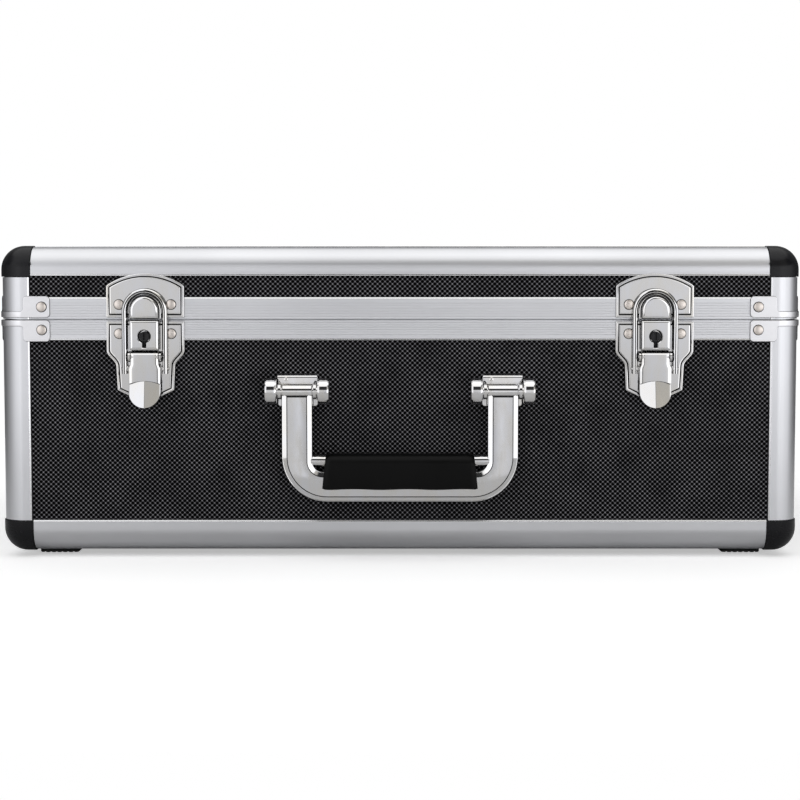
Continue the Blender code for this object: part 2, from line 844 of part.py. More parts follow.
def latch_lever(centre_x):
    """A pressed lever: a front skin with a thumb tab, side flanges, a knuckle and two pins."""
    profile = [(front(p), height(z)) for p, z in lever_skin_profile()]
    skin = prism(profile, centre_x - LEVER_HALF, centre_x + LEVER_HALF, "X")
    round_end = LEVER_HALF - 0.2
    outline = [
        (-LEVER_KNUCKLE_HALF, LEVER_AXIS_HEIGHT + 1),
        (-LEVER_KNUCKLE_HALF, LEVER_SHOULDER),
        (-LEVER_HALF, LEVER_SHOULDER - 1),
        *arc((0, LEVER_BOTTOM + round_end), round_end, 180, 360, 10),
        (LEVER_HALF, LEVER_SHOULDER - 1),
        (LEVER_KNUCKLE_HALF, LEVER_SHOULDER),
        (LEVER_KNUCKLE_HALF, LEVER_AXIS_HEIGHT + 1),
    ]
    boolean(skin, front_plate(outline, centre_x, 0, 15), "INTERSECT")
    axis = (front(LEVER_AXIS_PROUD), height(LEVER_AXIS_HEIGHT))
    hub = (front(BAIL_AXIS_PROUD), height(BAIL_AXIS_HEIGHT))
    flange = [
        (front(LATCH_FRONT - LEVER_SKIN / 2), height(LEVER_SHOULDER) - 1),
        *arc(hub, BAIL_HUB, 60, -60, 6),
        (front(LEVER_FLANGE_FOOT[0]), height(LEVER_FLANGE_FOOT[1])),
        (front(LATCH_FRONT - LEVER_SKIN / 2), height(LEVER_FLANGE_END)),
    ]
    cheek = [
        (front(LATCH_FRONT - LEVER_SKIN / 2), axis[1]),
        (axis[0] + 0.5, axis[1]),
        (hub[0] + 0.5, hub[1]),
        (front(LATCH_FRONT - LEVER_SKIN / 2), hub[1]),
    ]
    for sign in (-1, 1):
        reach = sorted((centre_x + sign * (LEVER_HALF - SHEET), centre_x + sign * LEVER_HALF))
        united(skin, prism(flange, *reach, "X"))
        inner = LEVER_KNUCKLE_HALF - SHEET
        reach = sorted((centre_x + sign * inner, centre_x + sign * LEVER_KNUCKLE_HALF))
        united(skin, prism(cheek, *reach, "X"))
    pin_end = LEVER_EAR_OUTER - 0.1
    united(
        skin,
        cylinder_x(
            centre_x - LEVER_KNUCKLE_HALF,
            centre_x + LEVER_KNUCKLE_HALF,
            *axis,
            LEVER_KNUCKLE,
        ),
        cylinder_x(centre_x - pin_end, centre_x + pin_end, *axis, LEVER_PIN_RADIUS),
    )
    bail_bore = cylinder_x(
        centre_x - 15, centre_x + 15, *hub, BAIL_PIN_RADIUS + GAP
    )
    return cut(skin, bail_bore)


def latch_bail(centre_x):
    """A bent rod loop that draws the keeper down, with its two ends turned into the lever."""
    plane = front(BAIL_AXIS_PROUD)
    bend = BAIL_OUTER_HALF - BAIL_ROD
    foot_z = BAIL_AXIS_HEIGHT - 2.9
    path = [
        (-bend, foot_z),
        *arc((0, BAIL_TOP - BAIL_ROD - bend), bend, 180, 0, 10),
        (bend, foot_z),
    ]
    rings = []
    count = len(path)
    for i, (x, z) in enumerate(path):
        before, after = path[max(i - 1, 0)], path[min(i + 1, count - 1)]
        along = Vector((after[0] - before[0], after[1] - before[1])).normalized()
        across = Vector((along.y, -along.x))
        ring = []
        for c, s in arc((0, 0), BAIL_ROD, 0, 360, 8)[:-1]:
            spot = Vector((centre_x + x, height(z))) + across * c
            ring.append((spot.x, plane + s, spot.y))
        rings.append(ring)
    points = [point for ring in rings for point in ring]
    faces = [tuple(range(8)), tuple(range((count - 1) * 8, count * 8))]
    for r in range(count - 1):
        for i in range(8):
            j = (i + 1) % 8
            faces.append((r * 8 + i, r * 8 + j, (r + 1) * 8 + j, (r + 1) * 8 + i))
    loop = solid_from(points, faces)
    for sign in (-1, 1):
        ends = sorted((centre_x + sign * (LEVER_HALF - SHEET), centre_x + sign * bend))
        pin = cylinder_x(*ends, plane, height(BAIL_AXIS_HEIGHT), BAIL_PIN_RADIUS, 10)
        united(loop, pin)
    return loop


def lock_cam(centre_x):
    """The lock's turning piece: a slotted hub with a bolt finger that hangs down when locked."""
    z = height(KEYHOLE_HEIGHT)
    hub = cylinder_y(front(CAM_FRONT), front(CAM_BACK), centre_x, z, CAM_HUB)
    finger = rectangle(-1.5, 1.5, KEYHOLE_HEIGHT - CAM_REACH, KEYHOLE_HEIGHT)
    united(hub, front_plate(finger, centre_x, CAM_BACK, CAM_BACK + CAM_PLATE))
    key_slot = rectangle(-0.7, 0.7, KEYHOLE_HEIGHT - 2.0, KEYHOLE_HEIGHT + 2.0)
    return cut(hub, front_plate(key_slot, centre_x, CAM_FRONT - 1.5, CAM_FRONT + 1))


def build_latches(lid_axis):
    for side, sign in SIDES:
        centre_x = sign * LATCH_X
        lever_axis = joint_axis(
            f"latch_lever_axis_{side}",
            centre_x,
            front(LEVER_AXIS_PROUD),
            height(LEVER_AXIS_HEIGHT),
        )
        bail_axis = joint_axis(
            f"latch_bail_axis_{side}",
            centre_x,
            front(BAIL_AXIS_PROUD),
            height(BAIL_AXIS_HEIGHT),
            lever_axis,
        )
        cam_axis = joint_axis(
            f"lock_cam_axis_{side}",
            centre_x,
            front(CAM_FRONT),
            height(KEYHOLE_HEIGHT),
        )
        node(f"latch_keeper_{side}", keeper_plate(centre_x), "chrome", lid_axis)
        node(f"latch_base_plate_{side}", latch_base_plate(centre_x), "chrome")
        node(f"latch_lever_{side}", latch_lever(centre_x), "chrome", lever_axis)
        node(f"latch_bail_{side}", latch_bail(centre_x), "chrome", bail_axis)
        node(f"lock_cam_{side}", lock_cam(centre_x), "lock_zinc", cam_axis)


# ---------------------------------------------------------------- handle


def handle_casting():
    """A flat U hung from its two arms' knuckles, with a core rod across it for the grip."""
    outer, inner = ARM_X + ARM_HALF, ARM_X - ARM_HALF
    big, small = HANDLE_OUTER_RADIUS, HANDLE_INNER_RADIUS
    rail_top = HANDLE_BOTTOM + 2 * ARM_HALF
    right = [
        (outer, HANDLE_AXIS_HEIGHT),
        *arc((outer - big, HANDLE_BOTTOM + big), big, 0, -90, 7),
    ]
    inside = [
        *arc((inner - small, rail_top + small), small, 270, 360, 4),
        (inner, HANDLE_AXIS_HEIGHT),
    ]
    left = [(-x, z) for x, z in reversed(right)]
    inside_left = [(-x, z) for x, z in reversed(inside)]
    back = HANDLE_AXIS_PROUD - HANDLE_HALF_THICKNESS
    face = HANDLE_AXIS_PROUD + HANDLE_HALF_THICKNESS
    casting = front_plate(right + left + inside_left + inside, 0, back, face)
    axis = (front(HANDLE_AXIS_PROUD), height(HANDLE_AXIS_HEIGHT))
    for _, sign in SIDES:
        reach = sorted((sign * inner, sign * outer))
        united(casting, cylinder_x(*reach, *axis, HANDLE_HALF_THICKNESS))
    rod_z = height(CORE_ROD_HEIGHT)
    united(casting, cylinder_x(-inner - 1, inner + 1, axis[0], rod_z, CORE_ROD))
    bores = [
        cylinder_x(*sorted((sign * (inner - 5), sign * (outer + 5))), *axis, AXLE_RADIUS + GAP)
        for _, sign in SIDES
    ]
    return cut(casting, *bores)


def handle_grip():
    """A moulded sleeve over the core rod and the rail's upper half, with slightly slanted ends."""
    back, face = front(GRIP_BACK), front(GRIP_FRONT)
    low, high = height(GRIP_BOTTOM), height(GRIP_TOP)
    outline = [
        (face, low),
        *arc((face + GRIP_ROUND, high - GRIP_ROUND), GRIP_ROUND, 180, 90),
        *arc((back - GRIP_ROUND, high - GRIP_ROUND), GRIP_ROUND, 90, 0),
        (back, low),
    ]
    grip = prism(outline, -1, 1, "X")
    for vertex in grip.data.vertices:
        share = (high - vertex.co.z) / (high - low)
        vertex.co.x *= GRIP_HALF_TOP + (GRIP_HALF_BOTTOM - GRIP_HALF_TOP) * share
    reach = GRIP_HALF_BOTTOM + 5
    middle = front(HANDLE_AXIS_PROUD)
    slot_half = HANDLE_HALF_THICKNESS + GAP
    slot_top = height(HANDLE_BOTTOM + 2 * ARM_HALF) + GAP
    return cut(
        grip,
        box(-reach, reach, middle - slot_half, middle + slot_half, low - 5, slot_top),
        cylinder_x(-reach, reach, middle, height(CORE_ROD_HEIGHT), CORE_ROD + GAP),
    )


def handle_bracket(centre_x):
    """A plate on the front wall with two ears for the axle and a bent lip that stops the arm."""
    back, face = -BOARD_INSET + GAP, MOUNT_PLATE_FRONT
    plate = front_plate(
        rectangle(
            -MOUNT_PLATE_HALF, MOUNT_PLATE_HALF, MOUNT_PLATE_BOTTOM, MOUNT_PLATE_TOP
        ),
        centre_x,
        back,
        face,
    )
    lip_profile = [
        (front(back), height(MOUNT_PLATE_TOP)),
        (front(face), height(MOUNT_PLATE_TOP)),
        (front(STOP_LIP_PROUD), height(STOP_LIP_HEIGHT + STOP_LIP_END)),
        (front(STOP_LIP_PROUD), height(STOP_LIP_HEIGHT)),
        (front(face), height(MOUNT_PLATE_TOP - STOP_LIP_ROOT)),
        (front(back), height(MOUNT_PLATE_TOP - STOP_LIP_ROOT)),
    ]
    lip = prism(lip_profile, -1, 1, "X")
    lip_low, lip_high = height(STOP_LIP_HEIGHT), height(MOUNT_PLATE_TOP)
    for vertex in lip.data.vertices:
        share = (lip_high - vertex.co.z) / (lip_high - lip_low)
        half = MOUNT_PLATE_HALF + (STOP_LIP_HALF - MOUNT_PLATE_HALF) * share
        vertex.co.x = centre_x + vertex.co.x * half
    axis = (front(HANDLE_AXIS_PROUD), height(HANDLE_AXIS_HEIGHT))
    united(plate, lip)
    ear_profile = [
        (front(back), axis[1] - MOUNT_EAR_FOOT),
        *arc(axis, MOUNT_EAR_RADIUS, 250, 110, 6),
        (front(back), axis[1] + MOUNT_EAR_FOOT),
    ]
    for sign in (-1, 1):
        reach = sorted(
            (centre_x + sign * MOUNT_EAR_INNER, centre_x + sign * MOUNT_EAR_OUTER)
        )
        united(plate, prism(ear_profile, *reach, "X"))
    bore = cylinder_x(centre_x - 20, centre_x + 20, *axis, AXLE_RADIUS + GAP)
    return cut(plate, bore)


def handle_axle(centre_x):
    """An axle with a round boss on each end."""
    axis = (front(HANDLE_AXIS_PROUD), height(HANDLE_AXIS_HEIGHT))
    axle = cylinder_x(centre_x - BOSS_CENTRE, centre_x + BOSS_CENTRE, *axis, AXLE_RADIUS)
    for sign in (-1, 1):
        low = centre_x + sign * BOSS_CENTRE - BOSS_WIDTH / 2
        boss = cylinder_x(low, low + BOSS_WIDTH, *axis, BOSS_RADIUS, 24)
        bevelled(boss, BOSS_BEVEL, lambda co: True, 1)
        united(axle, boss)
    return axle


def build_handle():
    axis = joint_axis(
        "handle_axis", 0, front(HANDLE_AXIS_PROUD), height(HANDLE_AXIS_HEIGHT)
    )
    node("handle_casting", handle_casting(), "chrome", axis)
    node("handle_grip", handle_grip(), "grip_plastic", axis)
    for side, sign in SIDES:
        node(f"handle_bracket_{side}", handle_bracket(sign * ARM_X), "chrome")
        node(f"handle_axle_{side}", handle_axle(sign * ARM_X), "chrome")


# ---------------------------------------------------------------- the whole case


def build_case():
    for leftover in list(bpy.data.objects):
        bpy.data.objects.remove(leftover)
    lid_axis = joint_axis("lid_axis", 0, rear(HINGE_AXIS_PROUD), PARTING_Z)
    build_body(lid_axis)
    build_hinges(lid_axis)
    build_latches(lid_axis)
    build_handle()


build_case()
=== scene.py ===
"""Looks of the aluminium-framed attache case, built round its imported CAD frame.

Lengths are in millimetres in the frame's own axes, and piece() turns each mesh into metres.
Heights are measured from the underside of the case body. On the front and the back, "proud" is the
distance out of the body's face. Every moving piece is made where the CAD says, at rest.
"""

import json
import math

import bmesh
import bpy
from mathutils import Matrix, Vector


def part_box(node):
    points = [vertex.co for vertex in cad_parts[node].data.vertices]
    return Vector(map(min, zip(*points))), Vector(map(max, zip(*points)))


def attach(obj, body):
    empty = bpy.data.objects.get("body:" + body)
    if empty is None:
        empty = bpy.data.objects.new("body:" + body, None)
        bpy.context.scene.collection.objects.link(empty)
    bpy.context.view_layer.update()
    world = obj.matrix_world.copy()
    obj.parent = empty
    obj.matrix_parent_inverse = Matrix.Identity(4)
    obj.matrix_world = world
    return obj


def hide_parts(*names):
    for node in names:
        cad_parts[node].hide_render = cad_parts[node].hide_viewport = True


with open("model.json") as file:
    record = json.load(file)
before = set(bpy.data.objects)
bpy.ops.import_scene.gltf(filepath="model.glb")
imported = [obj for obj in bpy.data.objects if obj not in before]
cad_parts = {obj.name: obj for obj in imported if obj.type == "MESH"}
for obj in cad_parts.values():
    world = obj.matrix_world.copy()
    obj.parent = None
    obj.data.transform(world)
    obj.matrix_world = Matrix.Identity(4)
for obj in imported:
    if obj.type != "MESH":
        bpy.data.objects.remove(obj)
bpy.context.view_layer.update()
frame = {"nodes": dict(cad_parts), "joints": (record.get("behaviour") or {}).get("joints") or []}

MM = 1000.0
SIDES = (("left", -1), ("right", 1))
ENDS = (("front", -1), ("rear", 1))
CORNERS = [(f"{end}_{side}", x_sign, y_sign) for end, y_sign in ENDS for side, x_sign in SIDES]
PARTS = (("base", -1), ("lid", 1))


def node_box(name):
    """A CAD node's lowest and highest corners in millimetres."""
    low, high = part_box(name)
    return low * MM, high * MM


def joint_at(name):
    """A joint's place in millimetres."""
    found = next(joint for joint in frame["joints"] if joint["name"] == name)
    return Vector(found["pos_m"]) * MM


# The case body, read from the frame
LEFT_X = node_box("base_post_front_left")[0].x
RIGHT_X = node_box("base_post_front_right")[1].x
FRONT_Y = node_box("base_post_front_left")[0].y
REAR_Y = node_box("base_post_rear_left")[1].y
BOTTOM_Z = node_box("base_edge")[0].z
TOP_Z = node_box("lid_edge")[1].z
PARTING_Z = joint_at("lid_hinge").z
HALF_X = (RIGHT_X - LEFT_X) / 2
HALF_Y = (REAR_Y - FRONT_Y) / 2
MID_Y = (FRONT_Y + REAR_Y) / 2

# Extrusions, posts and boards
EDGE_RADIUS = 13.0
SHEET = 1.2
GAP = 0.3
TONGUE_NEAR = 4.0
TONGUE_FAR = 5.6
TONGUE_HEIGHT = 3.5
BOARD = 5.0
BOARD_INSET = 1.6
INNER_SKIN = 7.1
FLAT_LEG = 16.5
EDGE_LEGS = {"base": 18.4, "lid": 16.5}
POST_LEG = 17.3
FRAME_SKIN = 12.5
SKIN_REACH = {"base": 11.8, "lid": 12.8}
ROD_GROOVE = 0.6
BEAD = 0.9
BEAD_PROUD = 0.4
BEAD_CREST = 0.15
FLUTE_DEPTH = 0.075
FLUTE_HALF = 0.25
LID_CAP_HEIGHT = 17.1
CAP_REACH = 18.0
CAP_PROUD = 0.7
CAP_WALL = 1.9

# Corner brackets
BRACKET_STARTS = {"base": 0.3, "lid": 1.2}
BRACKET_STRIP = 3.5
BRACKET_HEIGHT = 12.3
BRACKET_TAB_START = 13.9
BRACKET_TAB_END = 29.2
BRACKET_PROUD = 1.1
BRACKET_CORNER = 2.0
BRACKET_RIVET = 24.6
BRACKET_RIVET_RISE = {"base": -5.9, "lid": 7.3}
RIVET_RADIUS = 2.85

# Draw latches
LATCH_HALF = 22.3
PLATE_BACK = 0.3
LATCH_FRONT = 7.6
KEEPER_BOTTOM = 135.45
KEEPER_SHOULDER = 153.7
KEEPER_TOP = 160.6
DOME_HALF = 8.0
DOME_BOTTOM = 135.0
DOME_TOP = 147.5
PLATE_TOP = 133.2
PLATE_SHOULDER = 116.3
PLATE_WAIST = 107.5
PLATE_WAIST_HALF = 16.9
PLATE_HIP = 93.7
PLATE_HIP_HALF = 16.2
PLATE_TOE = 90.3
PLATE_TOE_HALF = 9.0
LOCK_HALF = 8.3
LOCK_BOTTOM = 117.0
LOCK_TOP = 133.9
KEYHOLE_RADIUS = 3.5
KEYHOLE_SLOT = 0.95
KEYHOLE_DROP = 6.3
LATCH_RIVET_X = 14.9
LATCH_RIVET_HEIGHTS = {"base": 126.2, "lid": 142.9}
LEVER_KNUCKLE = 3.2
LEVER_NECK_HALF = 7.9
LEVER_HALF = 9.0
LEVER_SHOULDER = 108.9
LEVER_BOTTOM = 84.1
LEVER_TOP = 114.5
LEVER_STEP = 99.4
LEVER_ARCH = 1.7
LEVER_CREASE = 1.6
TAB_PROUD = 6.5
TAB_LEAN = 0.215
WINDOW_HALF = 8.1
WINDOW_BOTTOM = 109.3
WINDOW_TOP = 116.7
LEVER_EAR_INNER = 8.25
LEVER_EAR_OUTER = 9.4
LEVER_EAR_RADIUS = 2.7
BAIL_OUTER_HALF = 13.15
BAIL_ROD = 1.6
BAIL_TOP = 152.2

# Hinges
HINGE_SHEET = 1.5
HINGE_RADIUS = 2.8
HINGE_BORE = 1.7
HINGE_LEAF_START = 2.2
HINGE_LEAF_END = 12.0
HINGE_NECK = 4.0

# Drop handle
ARM_HALF = 8.75
HANDLE_BOTTOM = 30.4
HANDLE_HALF_THICKNESS = 4.0
HANDLE_OUTER_RADIUS = 26.0
HANDLE_INNER_RADIUS = 6.0
BOSS_RADIUS = 7.35
BOSS_WIDTH = 7.1
BOSS_CENTRE = 15.0
CORE_ROD = 3.3
CORE_ROD_HEIGHT = 53.7
GRIP_BOTTOM = 38.0
GRIP_TOP = 58.0
GRIP_BACK = 1.4
GRIP_FRONT = 16.6
GRIP_HALF_TOP = 42.2
GRIP_HALF_BOTTOM = 44.35
GRIP_ROUND = 6.0
MOUNT_PLATE_HALF = 11.3
MOUNT_PLATE_BOTTOM = 84.5
MOUNT_PLATE_TOP = 102.8
MOUNT_EAR_INNER = 9.2
MOUNT_EAR_OUTER = 10.95
MOUNT_EAR_RADIUS = 4.6
STOP_LIP_PROUD = 7.5
STOP_LIP_HEIGHT = 98.1
STOP_LIP_HALF = 9.1

# Camera
CAMERA_DISTANCE = 1100.0
CAMERA_HEIGHT = 171.3
CAMERA_PITCH = 4.15
CAMERA_LENS = 86.27

# A face is steep when its normal's share along the case's depth is less than this
STEEP = 0.55


# ---------------------------------------------------------------- outlines


def height(above_body_bottom):
    return BOTTOM_Z + above_body_bottom


def front(proud):
    return FRONT_Y - proud


def rear(proud):
    return REAR_Y + proud


def arc(centre, radius, start, end, steps=12):
    """Points of a circular arc between two angles in degrees, both ends included."""
    angles = [math.radians(start + (end - start) * i / steps) for i in range(steps + 1)]
    return [(centre[0] + radius * math.cos(a), centre[1] + radius * math.sin(a)) for a in angles]


def rectangle(x_low, x_high, y_low, y_high, radius=0.0):
    """Corners of a rectangle for rounded(), anticlockwise."""
    places = ((x_low, y_low), (x_high, y_low), (x_high, y_high), (x_low, y_high))
    return [(x, y, radius) for x, y in places]


def mirrored(outline):
    """An outline's right half, listed bottom to top, closed by its mirror image."""
    return outline + [(-corner[0], *corner[1:]) for corner in reversed(outline)]


def rounded(corners, inset=0.0, steps=5):
    """Anticlockwise (a, b, radius) corners as points: moved inwards by inset, then rounded."""
    lines = []
    for i, corner in enumerate(corners):
        start, end = Vector(corner[:2]), Vector(corners[(i + 1) % len(corners)][:2])
        along = (end - start).normalized()
        lines.append((start + Vector((-along.y, along.x)) * inset, along))
    points = []
    for i, corner in enumerate(corners):
        (first, before), (second, after) = lines[i - 1], lines[i]
        turn = before.x * after.y - before.y * after.x
        meet = second
        if abs(turn) > 1e-6:
            reach = ((second - first).x * after.y - (second - first).y * after.x) / turn
            meet = first + before * reach
        if corner[2] == 0:
            points.append(tuple(meet))
            continue
        sign = 1 if turn > 0 else -1
        radius = max(corner[2] - sign * inset, 0.15)
        angle = before.angle(after)
        start = meet - before * radius * math.tan(angle / 2)
        centre = start + Vector((-before.y, before.x)) * sign * radius
        spoke = start - centre
        for step in range(steps + 1):
            turned = sign * angle * step / steps
            cosine, sine = math.cos(turned), math.sin(turned)
            x = centre.x + spoke.x * cosine - spoke.y * sine
            points.append((x, centre.y + spoke.x * sine + spoke.y * cosine))
    return points


# ---------------------------------------------------------------- meshes


def loft(rings, closed=False):
    """Skin between rings of equal length. Its ends are capped, unless the last ring meets the first."""
    size, count = len(rings[0]), len(rings)
    points = [point for ring in rings for point in ring]
    faces = []
    for r in range(count if closed else count - 1):
        here, there = r * size, (r + 1) % count * size
        for i in range(size):
            j = (i + 1) % size
            faces.append((here + i, here + j, there + j, there + i))
    if not closed:
        faces.append(tuple(range(size)))
        faces.append(tuple((count - 1) * size + i for i in range(size)))
    return points, faces


def slab(upper, lower):
    """A closed sheet between two grids of points, each a list of equal rows."""
    rows, columns = len(upper), len(upper[0])
    points = [point for grid in (upper, lower) for row in grid for point in row]
    shift = rows * columns
    faces = []
    for r in range(rows - 1):
        for c in range(columns - 1):
            i = r * columns + c
            face = (i, i + 1, i + columns + 1, i + columns)
            faces += [face, tuple(k + shift for k in face)]
    rim = list(range(columns))
    rim += [r * columns + columns - 1 for r in range(1, rows)]
    rim += [(rows - 1) * columns + c for c in range(columns - 2, -1, -1)]
    rim += [r * columns for r in range(rows - 2, 0, -1)]
    for i, here in enumerate(rim):
        there = rim[(i + 1) % len(rim)]
        faces.append((here, there, shift + there, shift + here))
    return points, faces


def joined(*shapes):
    """Several shapes as one."""
    points, faces = [], []
    for more_points, more_faces in shapes:
        shift = len(points)
        points += more_points
        faces += [tuple(i + shift for i in face) for face in more_faces]
    return points, faces


def prism(outline, low, high, axis):
    """An outline pushed along an axis; its two coordinates are the other axes in X, Y, Z order."""
    place = {
        "X": lambda a, b, along: (along, a, b),
        "Y": lambda a, b, along: (a, along, b),
        "Z": lambda a, b, along: (a, b, along),
    }[axis]
    return loft([[place(a, b, along) for a, b in outline] for along in (low, high)])


def relief(outline, profile, centre_x, steps=5):
    """A pressed shape on the front: (a, height, radius) corners at each (inset, proud) of a profile."""
    rings = []
    for inset, proud in profile:
        ring = rounded(outline, inset, steps)
        rings.append([(centre_x + a, front(proud), height(b)) for a, b in ring])
    return loft(rings)


def turned(profile, centre, axis, steps=32):
    """A turned shape: (radius, along) pairs spun about an axis through a centre."""
    axis = Vector(axis).normalized()
    side = axis.orthogonal().normalized()
    other = axis.cross(side)
    rings = []
    for radius, along in profile:
        ring = []
        for i in range(steps):
            angle = 2 * math.pi * i / steps
            spoke = side * math.cos(angle) + other * math.sin(angle)
            ring.append(tuple(Vector(centre) + axis * along + spoke * max(radius, 0.01)))
        rings.append(ring)
    return loft(rings)


def two_ended(profile, length):
    """A turned profile's first end, with its mirror image at the other end."""
    return profile + [(radius, length - along) for radius, along in reversed(profile)]


def tube(path, radius, normal, sides=16):
    """A round rod along a flat path of world points, with a fine groove along its front.

    The normal is square to the path's plane and points away from the groove.
    """
    normal = Vector(normal)
    rings = []
    for i, point in enumerate(path):
        before, after = Vector(path[max(i - 1, 0)]), Vector(path[min(i + 1, len(path) - 1)])
        across = (after - before).normalized().cross(normal)
        ring = []
        for j, (c, s) in enumerate(arc((0, 0), radius, -90, 270, sides)[:-1]):
            depth = ROD_GROOVE if j == 0 else 1.0
            ring.append(tuple(Vector(point) + across * c + normal * s * depth))
        rings.append(ring)
    return loft(rings)


def body_ring(section, steps=12):
    """A section swept round the case body. Its points are (inset from the walls, world height)."""
    rings = []
    for x_sign, y_sign, start in ((1, 1, 0), (-1, 1, 90), (-1, -1, 180), (1, -1, 270)):
        for i in range(steps + 1):
            angle = math.radians(start + 90 * i / steps)
            ring = []
            for inset, z in section:
                radius = max(EDGE_RADIUS - inset, 0.5)
                x = x_sign * (HALF_X - inset - radius) + radius * math.cos(angle)
                y = y_sign * (HALF_Y - inset - radius) + radius * math.sin(angle)
                ring.append((x, MID_Y + y, z))
            rings.append(ring)
    return loft(rings, closed=True)


def wall_runs(section, end_inset, axis):
    """A section as the two straight runs that lie along one axis, stopping short of the corners."""
    runs = []
    for sign in (-1, 1):
        if axis == "X":
            outline = [(MID_Y + sign * (HALF_Y - inset), z) for inset, z in section]
            low, high = -(HALF_X - end_inset), HALF_X - end_inset
        else:
            outline = [(sign * (HALF_X - inset), z) for inset, z in section]
            low, high = MID_Y - HALF_Y + end_inset, MID_Y + HALF_Y - end_inset
        runs.append(prism(outline, low, high, axis))
    return joined(*runs)


def boolean(shape, tool, operation):
    """One shape cut by, joined to or kept within another."""
    made = []
    for points, faces in (shape, tool):
        mesh = bpy.data.meshes.new("scratch")
        mesh.from_pydata(points, [], faces)
        outwards(mesh)
        scratch = bpy.data.objects.new("scratch", mesh)
        bpy.context.scene.collection.objects.link(scratch)
        made.append(scratch)
    modifier = made[0].modifiers.new("boolean", "BOOLEAN")
    modifier.operation = operation
    modifier.solver = "EXACT"
    modifier.object = made[1]
    graph = bpy.context.evaluated_depsgraph_get()
    result = bpy.data.meshes.new_from_object(made[0].evaluated_get(graph))
    points = [tuple(v.co) for v in result.vertices]
    faces = [tuple(p.vertices) for p in result.polygons]
    for scratch in made:
        mesh = scratch.data
        bpy.data.objects.remove(scratch)
        bpy.data.meshes.remove(mesh)
    bpy.data.meshes.remove(result)
    return points, faces


def cut(shape, *tools):
    for tool in tools:
        shape = boolean(shape, tool, "DIFFERENCE")
    return shape


def united(shape, *others):
    for other in others:
        shape = boolean(shape, other, "UNION")
    return shape


def outwards(mesh):
    """Turns a mesh's faces outwards."""
    work = bmesh.new()
    work.from_mesh(mesh)
    bmesh.ops.recalc_face_normals(work, faces=work.faces)
    work.to_mesh(mesh)
    work.free()


def working_mesh(shape):
    """A shape as a mesh to edit."""
    work = bmesh.new()
    made = [work.verts.new(point) for point in shape[0]]
    for face in shape[1]:
        work.faces.new([made[i] for i in face])
    return work


def finished_shape(work):
    """An edited mesh as a shape."""
    work.verts.index_update()
    points = [tuple(v.co) for v in work.verts]
    faces = [tuple(v.index for v in face.verts) for face in work.faces]
    work.free()
    return points, faces


def outward(point):
    """The direction straight out of the body's walls at a point."""
    flat = Vector((abs(point.x) - HALF_X + EDGE_RADIUS, abs(point.y - MID_Y) - HALF_Y + EDGE_RADIUS))
    flat = Vector((max(flat.x, 0.0), max(flat.y, 0.0)))
    away = Vector((math.copysign(flat.x, point.x), math.copysign(flat.y, point.y - MID_Y), 0.0))
    return away.normalized()


def is_steep(centre, normal):
    """Whether a face stands steeply off the wall that it is on."""
    return abs(normal.dot(outward(centre))) < STEEP


def is_groove(centre, normal):
    """Whether a face stands steeply off its wall without being square to it."""
    return 0.2 < abs(normal.dot(outward(centre))) < STEEP


def is_proud(centre, _normal):
    """Whether a face stands proud of the plain body."""
    across = max(abs(centre.x) - HALF_X, abs(centre.y - MID_Y) - HALF_Y)
    return max(across, centre.z - TOP_Z, BOTTOM_Z - centre.z) > 0.02


def piece(name, shape, finish, body, nodes=(), bevel=0.0, steps=3, angle=32.0, accent=None):
    """A finished piece: its mesh in metres, its material, its body and the nodes it replaces.

    An accent is a test of a face and the finish for the faces that pass it.
    """
    points, faces = shape
    mesh = bpy.data.meshes.new(name)
    mesh.from_pydata([Vector(point) / MM for point in points], [], faces)
    outwards(mesh)
    mesh.shade_smooth()
    mesh.materials.append(finish)
    if accent:
        mesh.materials.append(accent[1])
        for polygon in mesh.polygons:
            polygon.material_index = int(accent[0](polygon.center * MM, polygon.normal))
    made = bpy.data.objects.new(name, mesh)
    bpy.context.scene.collection.objects.link(made)
    if bevel:
        modifier = made.modifiers.new("rounded edges", "BEVEL")
        modifier.width = bevel / MM
        modifier.segments = steps
        modifier.limit_method = "ANGLE"
        modifier.angle_limit = math.radians(angle)
        modifier.harden_normals = True
    else:
        mesh.set_sharp_from_angle(angle=math.radians(angle))
        modifier = made.modifiers.new("flat faces stay flat", "WEIGHTED_NORMAL")
        modifier.keep_sharp = True
    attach(made, body)
    if nodes:
        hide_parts(*nodes)
    return made


# ---------------------------------------------------------------- materials


class Nodes:
    """A node tree, built one node at a time."""

    def __init__(self, tree):
        self.tree = tree

    def feed(self, target, value):
        """A socket or a plain value goes into a socket."""
        if isinstance(value, bpy.types.NodeSocket):
            self.tree.links.new(value, target)
        else:
            target.default_value = value

    def add(self, kind, output, inputs=(), **settings):
        """Adds a node with its settings and inputs, and gives one of its outputs."""
        made = self.tree.nodes.new(f"ShaderNode{kind}")
        for name, value in settings.items():
            setattr(made, name, value)
        for name, value in dict(inputs).items():
            self.feed(made.inputs[name], value)
        return made.outputs[output]

    def math(self, operation, *values):
        return self.add("Math", 0, enumerate(values), operation=operation)

    def ranged(self, value, low, high, new_low=0.0, new_high=1.0, **settings):
        """A value moved from one range to another."""
        inputs = {"Value": value, "From Min": low, "From Max": high, "To Min": new_low, "To Max": new_high}
        return self.add("MapRange", "Result", inputs, **settings)

    def mixed(self, share, first, second, kind="MIX"):
        """A blend of two colours by a share."""
        inputs = {"Factor": share}
        for name, colour in (("A", first), ("B", second)):
            inputs[name] = (*colour, 1.0) if isinstance(colour, tuple) else colour
        return self.add("Mix", "Result", inputs, data_type="RGBA", blend_type=kind)


